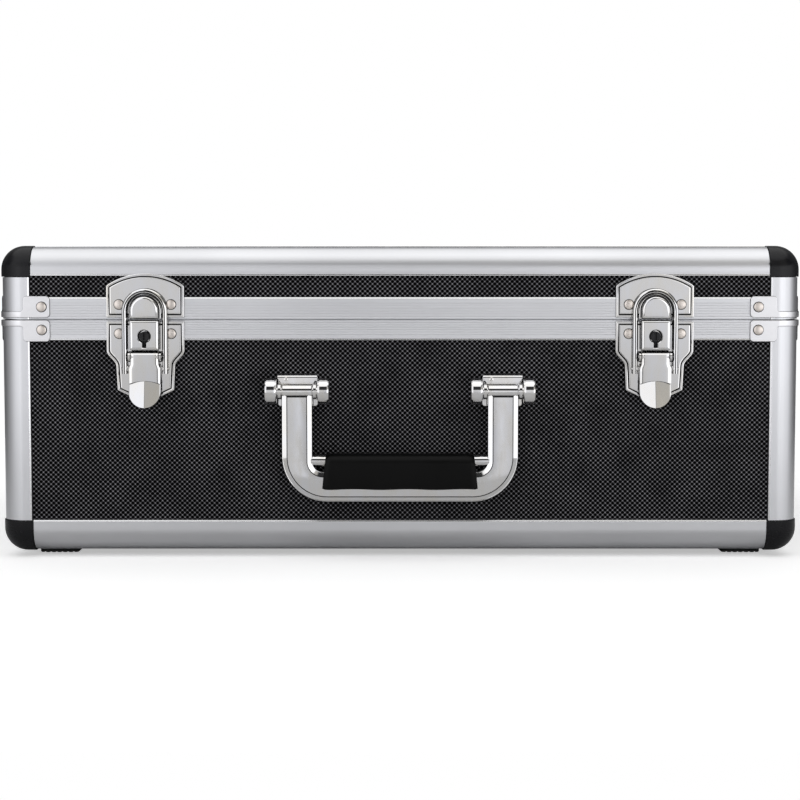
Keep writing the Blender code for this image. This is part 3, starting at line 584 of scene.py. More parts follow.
class Paint(Nodes):
    """A material and its nodes."""

    def __init__(self, name, colour, roughness, metallic=0.0):
        self.material = bpy.data.materials.new(name)
        self.material.use_nodes = True
        super().__init__(self.material.node_tree)
        self.shader = self.tree.nodes["Principled BSDF"]
        self.set("Base Color", (*colour, 1.0))
        self.set("Roughness", roughness)
        self.set("Metallic", metallic)
        self.place = self.add("TexCoord", "Object")

    def set(self, name, value):
        """A socket or a plain value goes into one of the shader's sockets."""
        self.feed(self.shader.inputs[name], value)

    def stretched(self, x, y, z):
        """Object coordinates scaled per axis."""
        return self.add("Mapping", "Vector", {"Vector": self.place, "Scale": (x, y, z)})

    def noise(self, vector, scale, detail=3.0, rough=0.5):
        inputs = {"Vector": vector, "Scale": scale, "Detail": detail, "Roughness": rough}
        return self.add("TexNoise", "Fac", inputs)

    def cells(self, scale):
        return self.add("TexVoronoi", "Distance", {"Vector": self.place, "Scale": scale})

    def mottle(self, share, first, second):
        """The base colour varies between two colours by a share."""
        self.set("Base Color", self.mixed(share, first, second))

    def bump(self, value, depth_mm, strength):
        """Relief of a given depth from a value between 0 and 1, over any relief already there."""
        inputs = {"Height": value, "Distance": depth_mm / MM, "Strength": strength}
        normal = self.shader.inputs["Normal"]
        if normal.is_linked:
            inputs["Normal"] = normal.links[0].from_socket
        self.set("Normal", self.add("Bump", "Normal", inputs))


def grey(value, tint=(1.0, 1.0, 1.0)):
    return tuple(value * share for share in tint)


COOL = (0.99, 0.995, 1.02)
WARM = (1.03, 1.0, 0.94)


def anodised_finish(axis):
    """Satin anodised aluminium with the drawing lines of its extrusion along one axis."""
    paint = Paint(f"anodised_aluminium_{axis.lower()}", (0.7, 0.7, 0.72), 0.3, 1.0)
    along, across = 3.0, 900.0
    scales = [along if name == axis else across for name in "XYZ"]
    lines = paint.noise(paint.stretched(*scales), 1.0, 4.0, 0.65)
    clouds = paint.noise(paint.place, 14.0)
    grain = paint.noise(paint.place, 2600.0, 2.0)
    paint.mottle(paint.ranged(clouds, 0.35, 0.65), grey(0.78, COOL), grey(0.83, COOL))
    fine = paint.math("MULTIPLY", grain, 0.04)
    paint.set("Roughness", paint.math("ADD", paint.ranged(lines, 0.3, 0.7, 0.29, 0.39), fine))
    paint.bump(lines, 0.012, 0.55)
    paint.bump(grain, 0.004, 0.35)
    return paint.material


def laminate_finish(name, across, up):
    """Black laminate embossed with a small diamond lattice, laid out along two axes. Its ridges and the
    knots where they cross are painted lighter: painted highlights on the relief.
    """
    paint = Paint(name, (0.01, 0.01, 0.011), 0.24)
    axes = paint.add("SeparateXYZ", 0, {0: paint.place}).node.outputs
    pitch, slope = 0.00286, 1.04
    ridges = []
    for sign in (-1.0, 1.0):
        slant = paint.math("ADD", axes[across], paint.math("MULTIPLY", axes[up], sign * slope))
        wave = paint.math("COSINE", paint.math("MULTIPLY", slant, 2 * math.pi / pitch))
        ridges.append(paint.ranged(wave, 0.0, 1.0))
    net = paint.math("MAXIMUM", *ridges)
    knots = paint.math("MULTIPLY", *ridges)
    fine = paint.noise(paint.place, 1800.0, 2.0)
    tone = paint.ranged(paint.noise(paint.place, 60.0, 4.0), 0.3, 0.7, 0.7, 1.3)
    # Lighter ridge lines and bright knot dots: painted highlights
    lines = paint.math("MULTIPLY", paint.math("POWER", net, 4.0), tone)
    knot_highlight = paint.math("MULTIPLY", paint.math("POWER", knots, 1.2), tone)
    colour = paint.mixed(lines, (0.0, 0.0, 0.0), (0.075, 0.074, 0.08))
    paint.mottle(knot_highlight, colour, (0.34, 0.336, 0.354))
    paint.set("Specular IOR Level", 0.02)
    paint.set("Roughness", paint.ranged(fine, 0.3, 0.7, 0.22, 0.34))
    paint.bump(net, 0.25, 1.0)
    paint.bump(fine, 0.006, 0.3)
    return paint.material


def cap_finish():
    """Glossy moulded plastic with a faint moulding texture and light scuffs."""
    paint = Paint("corner_cap_plastic", (0.006, 0.006, 0.007), 0.2)
    paint.set("Specular IOR Level", 0.3)
    scuffs = paint.noise(paint.stretched(1.0, 1.0, 2.2), 60.0, 5.0, 0.7)
    paint.mottle(paint.ranged(scuffs, 0.55, 0.75), (0.004, 0.004, 0.0055), (0.011, 0.011, 0.0135))
    paint.set("Roughness", paint.ranged(scuffs, 0.3, 0.75, 0.2, 0.36))
    paint.bump(paint.noise(paint.place, 420.0, 2.0), 0.01, 0.5)
    return paint.material


def nickel_finish(name, colour, low, high, grain_depth):
    """Plated or polished metal with a fine grain and faint handling marks."""
    paint = Paint(name, colour, low, 1.0)
    grain = paint.noise(paint.place, 2200.0)
    marks = paint.noise(paint.stretched(1.0, 1.0, 1.6), 130.0, 5.0, 0.7)
    paint.mottle(paint.ranged(marks, 0.3, 0.7), grey(0.93, colour), colour)
    fine = paint.math("MULTIPLY", grain, 0.05)
    paint.set("Roughness", paint.math("ADD", paint.ranged(marks, 0.3, 0.75, low, high), fine))
    paint.bump(grain, grain_depth, 0.6)
    return paint.material


def chrome_finish():
    """Polished chrome plate, with the slow ripple of a casting under it and faint wiping marks."""
    paint = Paint("chrome_plate", (0.9, 0.9, 0.905), 0.05, 1.0)
    smears = paint.noise(paint.stretched(1.0, 1.0, 0.35), 120.0, 5.0, 0.65)
    paint.mottle(paint.ranged(smears, 0.35, 0.7), grey(0.9, COOL), grey(0.86, WARM))
    paint.set("Roughness", paint.ranged(smears, 0.35, 0.75, 0.03, 0.1))
    paint.bump(paint.noise(paint.place, 55.0, 1.0), 0.05, 0.35)
    return paint.material


def grip_finish():
    """Semi-matte moulded plastic with a fine leather grain, polished a little by the hand."""
    paint = Paint("grip_plastic", (0.004, 0.004, 0.004), 0.36)
    paint.set("Specular IOR Level", 0.13)
    handling = paint.noise(paint.place, 35.0)
    paint.mottle(handling, (0.001, 0.001, 0.001), (0.0024, 0.0024, 0.0023))
    paint.set("Roughness", paint.ranged(handling, 0.3, 0.7, 0.32, 0.42))
    paint.bump(paint.cells(1500.0), 0.03, 0.4)
    return paint.material


def rubber_finish():
    """Dusty black rubber."""
    paint = Paint("foot_rubber", (0.02, 0.02, 0.02), 0.7)
    dust = paint.noise(paint.place, 90.0, 5.0, 0.7)
    paint.mottle(paint.ranged(dust, 0.5, 0.8), (0.012, 0.012, 0.012), (0.05, 0.048, 0.045))
    paint.set("Roughness", paint.ranged(dust, 0.3, 0.7, 0.6, 0.85))
    paint.bump(paint.noise(paint.place, 1500.0, 2.0), 0.02, 0.5)
    return paint.material


def foam_finish():
    """Open-cell foam: small pores over slow clouds of colour. The pores are painted darker where the relief
    sinks: painted shade in them.
    """
    paint = Paint("foam", (0.05, 0.05, 0.055), 0.95)
    pores = paint.cells(900.0)
    clouds = paint.mixed(paint.noise(paint.place, 30.0), (0.035, 0.035, 0.038), (0.06, 0.06, 0.064))
    # Dark pores: painted shade in the hollows of the relief
    paint.mottle(paint.ranged(pores, 0.1, 0.6), (0.012, 0.012, 0.013), clouds)
    paint.set("Sheen Weight", 0.25)
    paint.set("Sheen Roughness", 0.6)
    paint.bump(pores, 0.35, 0.8)
    return paint.material


def felt_finish():
    """Short black felt on the inner face of the boards."""
    paint = Paint("lining_felt", (0.03, 0.03, 0.032), 1.0)
    fibres = paint.noise(paint.place, 1400.0, 6.0, 0.75)
    pile = paint.noise(paint.stretched(1.0, 1.0, 0.4), 40.0)
    fluff = paint.math("MULTIPLY", fibres, paint.ranged(pile, 0.3, 0.7, 0.8, 1.15))
    paint.mottle(paint.ranged(fluff, 0.3, 0.75), (0.014, 0.014, 0.015), (0.06, 0.06, 0.064))
    paint.set("Sheen Weight", 0.35)
    paint.bump(fibres, 0.15, 0.7)
    return paint.material


POLISHED = nickel_finish("polished_aluminium", (0.95, 0.95, 0.955), 0.14, 0.22, 0.004)
ALUMINIUM = {axis: anodised_finish(axis) for axis in "XYZ"}
LAMINATE = {
    "front": laminate_finish("black_laminate_wall_x", "X", "Z"),
    "side": laminate_finish("black_laminate_wall_y", "Y", "Z"),
    "flat": laminate_finish("black_laminate_flat", "X", "Y"),
}
CAP_PLASTIC = cap_finish()
NICKEL = nickel_finish("nickel_plate", (0.95, 0.945, 0.96), 0.26, 0.36, 0.008)
RIVET_NICKEL = nickel_finish("rivet_nickel", (0.84, 0.77, 0.71), 0.26, 0.36, 0.003)
HINGE_STEEL = nickel_finish("hinge_steel", (0.64, 0.64, 0.66), 0.2, 0.36, 0.008)
LOCK_ZINC = nickel_finish("lock_zinc", (0.045, 0.045, 0.047), 0.4, 0.6, 0.01)
CHROME = chrome_finish()
# Near-black metal put on steep faces and grooves: painted shade and painted dark reflection
CHROME_PAINTED_SHADE = nickel_finish("chrome_painted_shade", (0.05, 0.05, 0.052), 0.35, 0.5, 0.01)
GRIP_PLASTIC = grip_finish()
RUBBER = rubber_finish()
FOAM = foam_finish()
FELT = felt_finish()

# Which faces of a piece get another finish: polished beads, and steep faces and grooves of metal parts
# painted near black as painted shade and painted dark reflection
BRIGHT_BEADS = (is_proud, POLISHED)
PAINTED_SHADE_EDGES = (is_steep, CHROME_PAINTED_SHADE)
PAINTED_SHADE_GROOVES = (is_groove, CHROME_PAINTED_SHADE)


# ---------------------------------------------------------------- boards


def board(name, part, corners, limits, finish, node, inwards):
    """A board, with felt on the face that looks into the case."""
    shape = prism(rounded(corners), *limits, "Z")
    made = piece(name, shape, LAMINATE[finish], part, [node], bevel=0.2, steps=1)
    made.data.materials.append(FELT)
    for polygon in made.data.polygons:
        if polygon.normal.dot(inwards) > 0.9:
            polygon.material_index = 1


def wall_boards(part):
    """The four wall boards of the lid or the base."""
    node = f"{part}_wall_panel"
    low, high = node_box(node)
    inner = BOARD_INSET + BOARD
    for end, sign in ENDS:
        across = sorted(MID_Y + sign * (HALF_Y - inset) for inset in (BOARD_INSET, inner))
        reach = HALF_X - inner - GAP
        corners = rectangle(-reach, reach, *across)
        board(f"{part}_board_{end}", part, corners, (low.z, high.z), "front", node, Vector((0, -sign, 0)))
    for side, sign in SIDES:
        across = sorted(sign * (HALF_X - inset) for inset in (BOARD_INSET, inner))
        reach = HALF_Y - BOARD_INSET - EDGE_RADIUS / 2
        corners = rectangle(*across, MID_Y - reach, MID_Y + reach)
        board(f"{part}_board_{side}", part, corners, (low.z, high.z), "side", node, Vector((-sign, 0, 0)))


def flat_boards():
    """The bottom board and the top board."""
    for node, part, inwards in (("base_bottom_panel", "base", 1), ("lid_top_panel", "lid", -1)):
        low, high = node_box(node)
        corners = rectangle(low.x, high.x, low.y, high.y, 1.5)
        name, limits = node.replace("panel", "board"), (low.z, high.z)
        board(name, part, corners, limits, "flat", node, Vector((0, 0, inwards)))


# ---------------------------------------------------------------- extrusions


def bead(edge, faces_edge):
    """A raised bead along a skin's edge, as (inset, depth) points ending at the edge.

    Its broad flank looks past the edge or back over the skin.
    """
    start = edge - BEAD
    if faces_edge:
        return [(0.0, start), (-BEAD_PROUD, start + BEAD_CREST), (0.0, edge)]
    return [(0.0, start), (-BEAD_PROUD, edge - BEAD_CREST), (0.0, edge)]


def edge_section(part):
    """The outer skin of an edge extrusion, in (inset, world height)."""
    leg = EDGE_LEGS[part]
    bend = EDGE_RADIUS - SHEET
    centre = (EDGE_RADIUS, EDGE_RADIUS)
    lip = bead(leg, part == "base")
    flat_lip = [(b, a) for a, b in bead(FLAT_LEG, True)]
    points = [*reversed(lip), *arc(centre, EDGE_RADIUS, 180, 270, 20), *flat_lip]
    points += [(FLAT_LEG, SHEET), *arc(centre, bend, 270, 180, 12), (SHEET, leg)]
    outside_z, sign = (BOTTOM_Z, 1) if part == "base" else (TOP_Z, -1)
    return [(inset, outside_z + sign * depth) for inset, depth in points]


def inner_angle_section(part):
    """The angle inside the boards, with the rib that holds it to the outer skin."""
    leg, inner, rib = EDGE_LEGS[part], INNER_SKIN + SHEET, 0.42
    reach = 5.2
    points = [
        (reach + rib, reach - rib),
        (INNER_SKIN + 2 * rib, INNER_SKIN),
        (FLAT_LEG, INNER_SKIN),
        (FLAT_LEG, inner),
        (inner, inner),
        (inner, leg),
        (INNER_SKIN, leg),
        (INNER_SKIN, INNER_SKIN + 2 * rib),
        (reach - rib, reach + rib),
    ]
    outside_z, sign = (BOTTOM_Z, 1) if part == "base" else (TOP_Z, -1)
    return [(inset, outside_z + sign * depth) for inset, depth in points]


def edge_extrusions(part):
    """The rounded extrusions along the lid's or the base's outer edges."""
    section = edge_section(part)
    for axis in "XY":
        runs = wall_runs(section, CAP_REACH + GAP, axis)
        piece(
            f"{part}_edge_runs_{axis.lower()}", runs, ALUMINIUM[axis], part,
            [f"{part}_edge"], angle=40, accent=BRIGHT_BEADS,
        )
    inner = body_ring(inner_angle_section(part))
    piece(f"{part}_edge_inner", inner, ALUMINIUM["X"], part, [f"{part}_edge"])


def fluted_skin(part):
    """A closure frame's outer skin with fine flutes and a bead, in (inset, world height)."""
    sign = -1 if part == "base" else 1
    rise_low, rise_high = GAP, SKIN_REACH[part]
    points = [(0.25, rise_low), (0.0, rise_low + 0.25)]
    flutes = 6
    spacing = (rise_high - rise_low - 2 * BEAD) / (flutes + 1)
    for i in range(flutes):
        rise = rise_low + (i + 1) * spacing
        points += [(0.0, rise - FLUTE_HALF), (FLUTE_DEPTH, rise), (0.0, rise + FLUTE_HALF)]
    points += bead(rise_high, part == "lid")
    points += [(SHEET, rise_high), (SHEET, rise_low)]
    return [(inset, PARTING_Z + sign * rise) for inset, rise in points]


def frame_ring_section(part):
    """The part of a closure frame that runs right round: the base's tongue, or the lid's groove."""
    inner = INNER_SKIN + SHEET
    if part == "base":
        web, low, chamfer = -GAP - 1.5, -FRAME_SKIN, 0.2
        near, far, top = TONGUE_NEAR, TONGUE_FAR, TONGUE_HEIGHT
        points = [
            (BOARD_INSET, web), (BOARD_INSET, -GAP), (near, -GAP), (near, top - chamfer),
            (near + chamfer, top), (far - chamfer, top), (far, top - chamfer), (far, -GAP),
            (inner, -GAP), (inner, low), (INNER_SKIN, low), (INNER_SKIN, web),
        ]
    else:
        web_low, web_high, high = 4.5, 6.0, FRAME_SKIN + GAP
        points = [
            (SHEET, web_low), (SHEET, web_high), (INNER_SKIN, web_high), (INNER_SKIN, high),
            (inner, high), (inner, GAP), (INNER_SKIN, GAP), (INNER_SKIN, web_low),
        ]
    return [(inset, PARTING_Z + rise) for inset, rise in points]


def closure_frames(part):
    """The fluted strips that meet at the parting line, and the ring behind them."""
    node = f"{part}_frame"
    for axis in "XY":
        runs = wall_runs(fluted_skin(part), POST_LEG + GAP, axis)
        piece(
            f"{node}_skins_{axis.lower()}", runs, ALUMINIUM[axis], part, [node],
            accent=BRIGHT_BEADS,
        )
    ring = body_ring(frame_ring_section(part))
    piece(f"{node}_ring", ring, ALUMINIUM["X"], part, [node])


def corner_post(part, where, x_sign, y_sign):
    """A vertical corner post, with a bead along each of its two edges."""
    low, high = node_box(f"{part}_post_{where}")
    if part == "base":
        bottom, top = low.z, high.z
    else:
        bottom, top = low.z, TOP_Z - LID_CAP_HEIGHT - GAP
    centre = (EDGE_RADIUS, EDGE_RADIUS)
    lip = bead(POST_LEG, True)
    plan = [*reversed(lip), *arc(centre, EDGE_RADIUS, 180, 270, 20), *[(b, a) for a, b in lip]]
    plan += [(POST_LEG, SHEET), *arc(centre, EDGE_RADIUS - SHEET, 270, 180, 12), (SHEET, POST_LEG)]
    outline = [(x_sign * (HALF_X - a), MID_Y + y_sign * (HALF_Y - b)) for a, b in plan]
    piece(
        f"{part}_corner_post_{where}", prism(outline, bottom, top, "Z"), ALUMINIUM["Z"], part,
        [f"{part}_post_{where}"], angle=40, accent=BRIGHT_BEADS,
    )


# ---------------------------------------------------------------- corners


def ball_block(x_sign, y_sign, z_sign, outside_z, inset, rise, open_ends, steps):
    """A block filling a corner of the body, with its ball corner inset from the three faces."""
    far, rise = CAP_REACH + open_ends, rise + open_ends
    x_near, y_near = HALF_X - inset, HALF_Y - inset
    x_limits = sorted((x_sign * x_near, x_sign * (HALF_X - far)))
    y_limits = sorted((MID_Y + y_sign * y_near, MID_Y + y_sign * (HALF_Y - far)))
    z_limits = sorted((outside_z - z_sign * inset, outside_z - z_sign * rise))
    work = working_mesh(prism(rounded(rectangle(*x_limits, *y_limits)), *z_limits, "Z"))
    bmesh.ops.recalc_face_normals(work, faces=work.faces)
    tip = Vector((x_sign * x_near, MID_Y + y_sign * y_near, outside_z - z_sign * inset))
    edges = list(min(work.verts, key=lambda v: (v.co - tip).length).link_edges)
    radius = EDGE_RADIUS - inset
    bmesh.ops.bevel(work, geom=edges, offset=radius, segments=steps, profile=0.5, affect="EDGES")
    return finished_shape(work)


def corner_cap(part, where, x_sign, y_sign):
    """A ball corner cap."""
    z_sign, outside_z = (-1, BOTTOM_Z) if part == "base" else (1, TOP_Z)
    rise = CAP_REACH if part == "base" else LID_CAP_HEIGHT
    shell = ball_block(x_sign, y_sign, z_sign, outside_z, -CAP_PROUD, rise, 0, 14)
    hollow = ball_block(x_sign, y_sign, z_sign, outside_z, CAP_WALL - CAP_PROUD, rise, 2, 6)
    shape = cut(shell, hollow)
    if part == "lid" and y_sign < 0:
        nib = (x_sign * (HALF_X - CAP_REACH), front(0.15), TOP_Z - 9.3)
        profile = [(0.9, -0.6), (0.85, 0.2), (0.5, 0.5), (0.0, 0.6)]
        shape = joined(shape, turned(profile, nib, (-x_sign, 0, 0), 16))
    piece(
        f"{part}_ball_corner_{where}", shape, CAP_PLASTIC, part,
        [f"{part}_corner_cap_{where}"], bevel=0.3, steps=3, angle=40,
    )


def wrapped(u, v, out, x_sign, y_sign):
    """A point of the strip that wraps a vertical corner: u along it from the bend's middle, v up."""
    half_bend = EDGE_RADIUS * math.pi / 4
    beyond = max(abs(u) - half_bend, 0.0)
    bend = min(abs(u), half_bend) / EDGE_RADIUS
    angle = math.pi / 4 - bend
    reach = EDGE_RADIUS + out
    along = EDGE_RADIUS - reach * math.sin(angle) + beyond
    inset = EDGE_RADIUS - reach * math.cos(angle)
    a, b = (along, inset) if u > 0 else (inset, along)
    return (x_sign * (HALF_X - a), MID_Y + y_sign * (HALF_Y - b), v)


def corner_bracket(part, where, x_sign, y_sign):
    """A pressed strip wrapped round the corner at the parting line, with a riveted tab on each wall."""
    sign = -1 if part == "base" else 1
    half_bend = EDGE_RADIUS * math.pi / 4
    tab_start = half_bend + BRACKET_TAB_START - EDGE_RADIUS
    tab_end = half_bend + BRACKET_TAB_END - EDGE_RADIUS
    low = BRACKET_STARTS[part]
    high = low + BRACKET_HEIGHT
    half = [(tab_end, low, BRACKET_CORNER), (tab_end, high, BRACKET_CORNER)]
    half += [(tab_start, high, BRACKET_CORNER), (tab_start, low + BRACKET_STRIP, BRACKET_CORNER * 0.8)]
    out = BRACKET_PROUD
    profile = ((0.0, -0.05), (0.0, out - 0.4), (0.12, out - 0.12), (0.4, out))
    outline = mirrored(half)
    work = working_mesh(loft([[(u, v, out) for u, v in rounded(outline, inset)] for inset, out in profile]))
    cuts = 14
    for i in range(cuts + 1):
        place = (-half_bend + 2 * half_bend * i / cuts, 0, 0)
        geometry = [*work.verts, *work.edges, *work.faces]
        bmesh.ops.bisect_plane(work, geom=geometry, plane_co=place, plane_no=(1, 0, 0))
    points, faces = finished_shape(work)
    points = [wrapped(u, PARTING_Z + sign * v, out, x_sign, y_sign) for u, v, out in points]
    # The strip's steep rims are painted near black: painted shade in the gap round it
    piece(
        f"{part}_bracket_{where}", (points, faces), NICKEL, part,
        [f"{part}_corner_bracket_{where}"], accent=PAINTED_SHADE_EDGES,
    )


def rivet(centre, axis, radius=RIVET_RADIUS, rise=1.15):
    """A domed rivet head standing on a surface."""
    profile = [
        (radius * 1.2, -0.6),
        (radius * 1.0, 0.5),
        (radius * 0.94, 0.8),
        (radius * 0.84, rise * 0.8),
        (radius * 0.68, rise * 0.88),
        (radius * 0.48, rise * 0.94),
        (radius * 0.24, rise * 0.99),
        (0.0, rise),
    ]
    return turned(profile, centre, axis, 28)


def bracket_rivets(part):
    """The sixteen rivets that hold the lid's or the base's corner brackets."""
    z = PARTING_Z + BRACKET_RIVET_RISE[part]
    heads = []
    for _, x_sign, y_sign in CORNERS:
        x, y = x_sign * (HALF_X - BRACKET_RIVET), MID_Y + y_sign * (HALF_Y - BRACKET_RIVET)
        heads.append(rivet((x, MID_Y + y_sign * (HALF_Y + BRACKET_PROUD), z), (0, y_sign, 0)))
        heads.append(rivet((x_sign * (HALF_X + BRACKET_PROUD), y, z), (x_sign, 0, 0)))
    # The heads' steep sides are painted near black: painted shade round their seats
    piece(f"{part}_bracket_rivets", joined(*heads), RIVET_NICKEL, part, accent=PAINTED_SHADE_EDGES)


def foot(where):
    """A rubber foot with a ribbed sole and a screw sunk in its middle."""
    low, high = node_box(f"foot_{where}")
    middle = (low + high) / 2
    ribs, groove = 7, 0.45
    pitch = (high.x - low.x) / ribs
    outline = [(low.x, high.z)]
    for i in range(ribs):
        left = low.x + i * pitch
        outline += [(left + 0.15, low.z + groove), (left + 0.75, low.z)]
        outline += [(left + pitch - 0.75, low.z), (left + pitch - 0.15, low.z + groove)]
    outline.append((high.x, high.z))
    corners = rectangle(low.x, high.x, low.y, high.y, 4.0)
    limits = prism(rounded(corners), low.z - 1, high.z + 1, "Z")
    block = boolean(prism(outline, low.y, high.y, "Y"), limits, "INTERSECT")
    recess = turned([(3.6, -1.0), (3.6, 2.0)], (middle.x, middle.y, low.z), (0, 0, 1))
    piece(
        f"rubber_foot_{where}", cut(block, recess), RUBBER, "base", [f"foot_{where}"],
        bevel=0.2, steps=2,
    )
    head = rivet((middle.x, middle.y, low.z + 1.9), (0, 0, -1), 3.1, 0.9)
    slot = rounded(rectangle(middle.x - 4, middle.x + 4, middle.y - 0.35, middle.y + 0.35))
    head = cut(head, prism(slot, low.z + 0.5, low.z + 1.45, "Z"))
    piece(f"foot_screw_{where}", head, HINGE_STEEL, "base")


# ---------------------------------------------------------------- hinges


def hinge(side):
    """A leaf on each half, knuckles over a headed pin, and three rivets in each leaf."""
    low, high = node_box(f"hinge_base_leaf_{side}")
    centre_x, half = (low.x + high.x) / 2, (high.x - low.x) / 2
    axis_y, z = joint_at("lid_hinge").y, PARTING_Z
    third, play = half / 3, GAP / 2
    stretches = {
        "base": [(-half, -third - play), (third + play, half)],
        "lid": [(-third + play, third - play)],
    }
    back, face = rear(GAP), rear(GAP + HINGE_SHEET)
    for part, sign in PARTS:
        z_limits = sorted((z + sign * HINGE_LEAF_START, z + sign * HINGE_LEAF_END))
        corners = rectangle(centre_x - half, centre_x + half, *z_limits)
        free_corners = (0, 1) if part == "base" else (2, 3)
        corners = [(a, b, 1.5 if i in free_corners else 0.0) for i, (a, b, _) in enumerate(corners)]
        leaf = prism(rounded(corners), back, face, "Y")
        root = z + sign * HINGE_NECK
        neck = [(back, root), (back, z), (axis_y, z), (axis_y, z + sign * (HINGE_RADIUS - 0.2))]
        neck += [(face, z + sign * 3.4), (face, root)]
        for start, end in stretches[part]:
            reach = (centre_x + start, centre_x + end)
            barrel = prism(arc((axis_y, z), HINGE_RADIUS, 0, 360, 28)[:-1], *reach, "X")
            leaf = united(leaf, prism(neck, *reach, "X"), barrel)
        hole = prism(arc((axis_y, z), HINGE_BORE, 0, 360, 24)[:-1], centre_x - 30, centre_x + 30, "X")
        piece(
            f"hinge_{part}_half_{side}", cut(leaf, hole), HINGE_STEEL, part,
            [f"hinge_{part}_leaf_{side}"], bevel=0.2, steps=2, angle=40,
        )
        places = [(centre_x + offset, face, z + sign * 8.4) for offset in (-16.0, 0.0, 16.0)]
        heads = [rivet(place, (0, 1, 0), 2.2, 0.9) for place in places]
        piece(f"hinge_{part}_rivets_{side}", joined(*heads), RIVET_NICKEL, part)
    pin_low, pin_high = node_box(f"hinge_pin_{side}")
    end = [(1.8, 0.0), (2.3, 0.25), (2.3, 0.8), (1.35, 1.0)]
    profile = two_ended(end, pin_high.x - pin_low.x)
    pin = turned(profile, (pin_low.x, axis_y, z), (1, 0, 0), 24)
    piece(f"hinge_rod_{side}", pin, HINGE_STEEL, "base", [f"hinge_pin_{side}"])


# ---------------------------------------------------------------- latches

# A pressed plate from its outer edge inwards: a flange with a faint line, a groove and the plateau
PLATE_PROFILE = (
    (0.0, PLATE_BACK),
    (0.0, 0.85),
    (0.12, 1.02),
    (0.3, 1.08),
    (0.6, 1.08),
    (0.75, 0.92),
    (0.9, 1.08),
    (1.3, 1.08),
    (1.45, 0.95),
    (1.68, 0.4),
    (1.98, 1.45),
    (2.12, 1.68),
    (2.35, 1.78),
    (2.8, 1.74),
)


def keeper_outline():
    """Straight sides under a shallow arch, anticlockwise."""
    rise, half = KEEPER_TOP - KEEPER_SHOULDER, LATCH_HALF
    radius = (half * half + rise * rise) / (2 * rise)
    spread = math.degrees(math.asin(half / radius))
    arch = arc((0, KEEPER_TOP - radius), radius, 90 - spread, 90, 14)
    right = [(half, KEEPER_BOTTOM, 0.6), (*arch[0], 1.6)]
    right += [(*point, 0) for point in arch[1:-1]]
    return mirrored(right)


def dome_outline(grow):
    """The D-shaped nose: straight sides under a half circle."""
    half, top = DOME_HALF + grow, DOME_TOP + grow
    bend = arc((0, top - half), half, 0, 180, 24)
    return [(half, DOME_BOTTOM - grow, 0), *[(*p, 0) for p in bend], (-half, DOME_BOTTOM - grow, 0)]


def latch_keeper(side, centre_x):
    """The lid's half of a draw latch: a double-rimmed plate with a D-shaped nose for the bail."""
    plate = relief(keeper_outline(), PLATE_PROFILE, centre_x)
    seat_profile = ((0, 1.4), (0, 2.7), (0.2, 3.1), (0.6, 3.25), (1.0, 3.1), (1.3, 2.7))
    seat = relief(dome_outline(1.3), seat_profile, centre_x)
    nose_profile = ((0.5, 1.5), (0.5, 4.6), (0.35, 5.4), (0.0, 6.0), (0.0, 6.5), (0.12, 7.0), (0.45, 7.4))
    nose = relief(dome_outline(0.0), (*nose_profile, (0.95, 7.6), (1.6, 7.65)), centre_x)
    below = rectangle(centre_x - 12, centre_x + 12, height(DOME_BOTTOM) - 3, height(DOME_BOTTOM))
    trim = prism(rounded(below), front(12), front(-1), "Y")
    shape = joined(plate, cut(seat, trim), nose)
    # The plate's steep walls and grooves are painted near black: painted shade and painted dark reflection
    piece(
        f"keeper_{side}", shape, CHROME, "lid", [f"latch_keeper_{side}"], angle=40,
        accent=PAINTED_SHADE_EDGES,
    )


def base_plate_outline():
    """Straight sides, an S-shaped waist and a toe that closes in under the lever, anticlockwise."""
    waist = []
    steps = 10
    for i in range(steps + 1):
        share = i / steps
        blend = (1 - math.cos(math.pi * share)) / 2
        x = PLATE_WAIST_HALF + (LATCH_HALF - PLATE_WAIST_HALF) * blend
        waist.append((x, PLATE_WAIST + (PLATE_SHOULDER - PLATE_WAIST) * share, 0))
    right = [
        (PLATE_TOE_HALF, PLATE_TOE, 1.0),
        (PLATE_HIP_HALF, PLATE_HIP, 0.8),
        *waist,
        (LATCH_HALF, PLATE_TOP, 0.6),
    ]
    return mirrored(right)


def keyhole_outline():
    """A round hole with a slot below it, anticlockwise."""
    opening = math.degrees(math.asin(KEYHOLE_SLOT / KEYHOLE_RADIUS))
    bend = arc((0, 0), KEYHOLE_RADIUS, -90 + opening, 270 - opening, 28)
    outline = [(KEYHOLE_SLOT, -KEYHOLE_DROP, 0), *[(a, b, 0) for a, b in bend]]
    return [*outline, (-KEYHOLE_SLOT, -KEYHOLE_DROP, 0)]


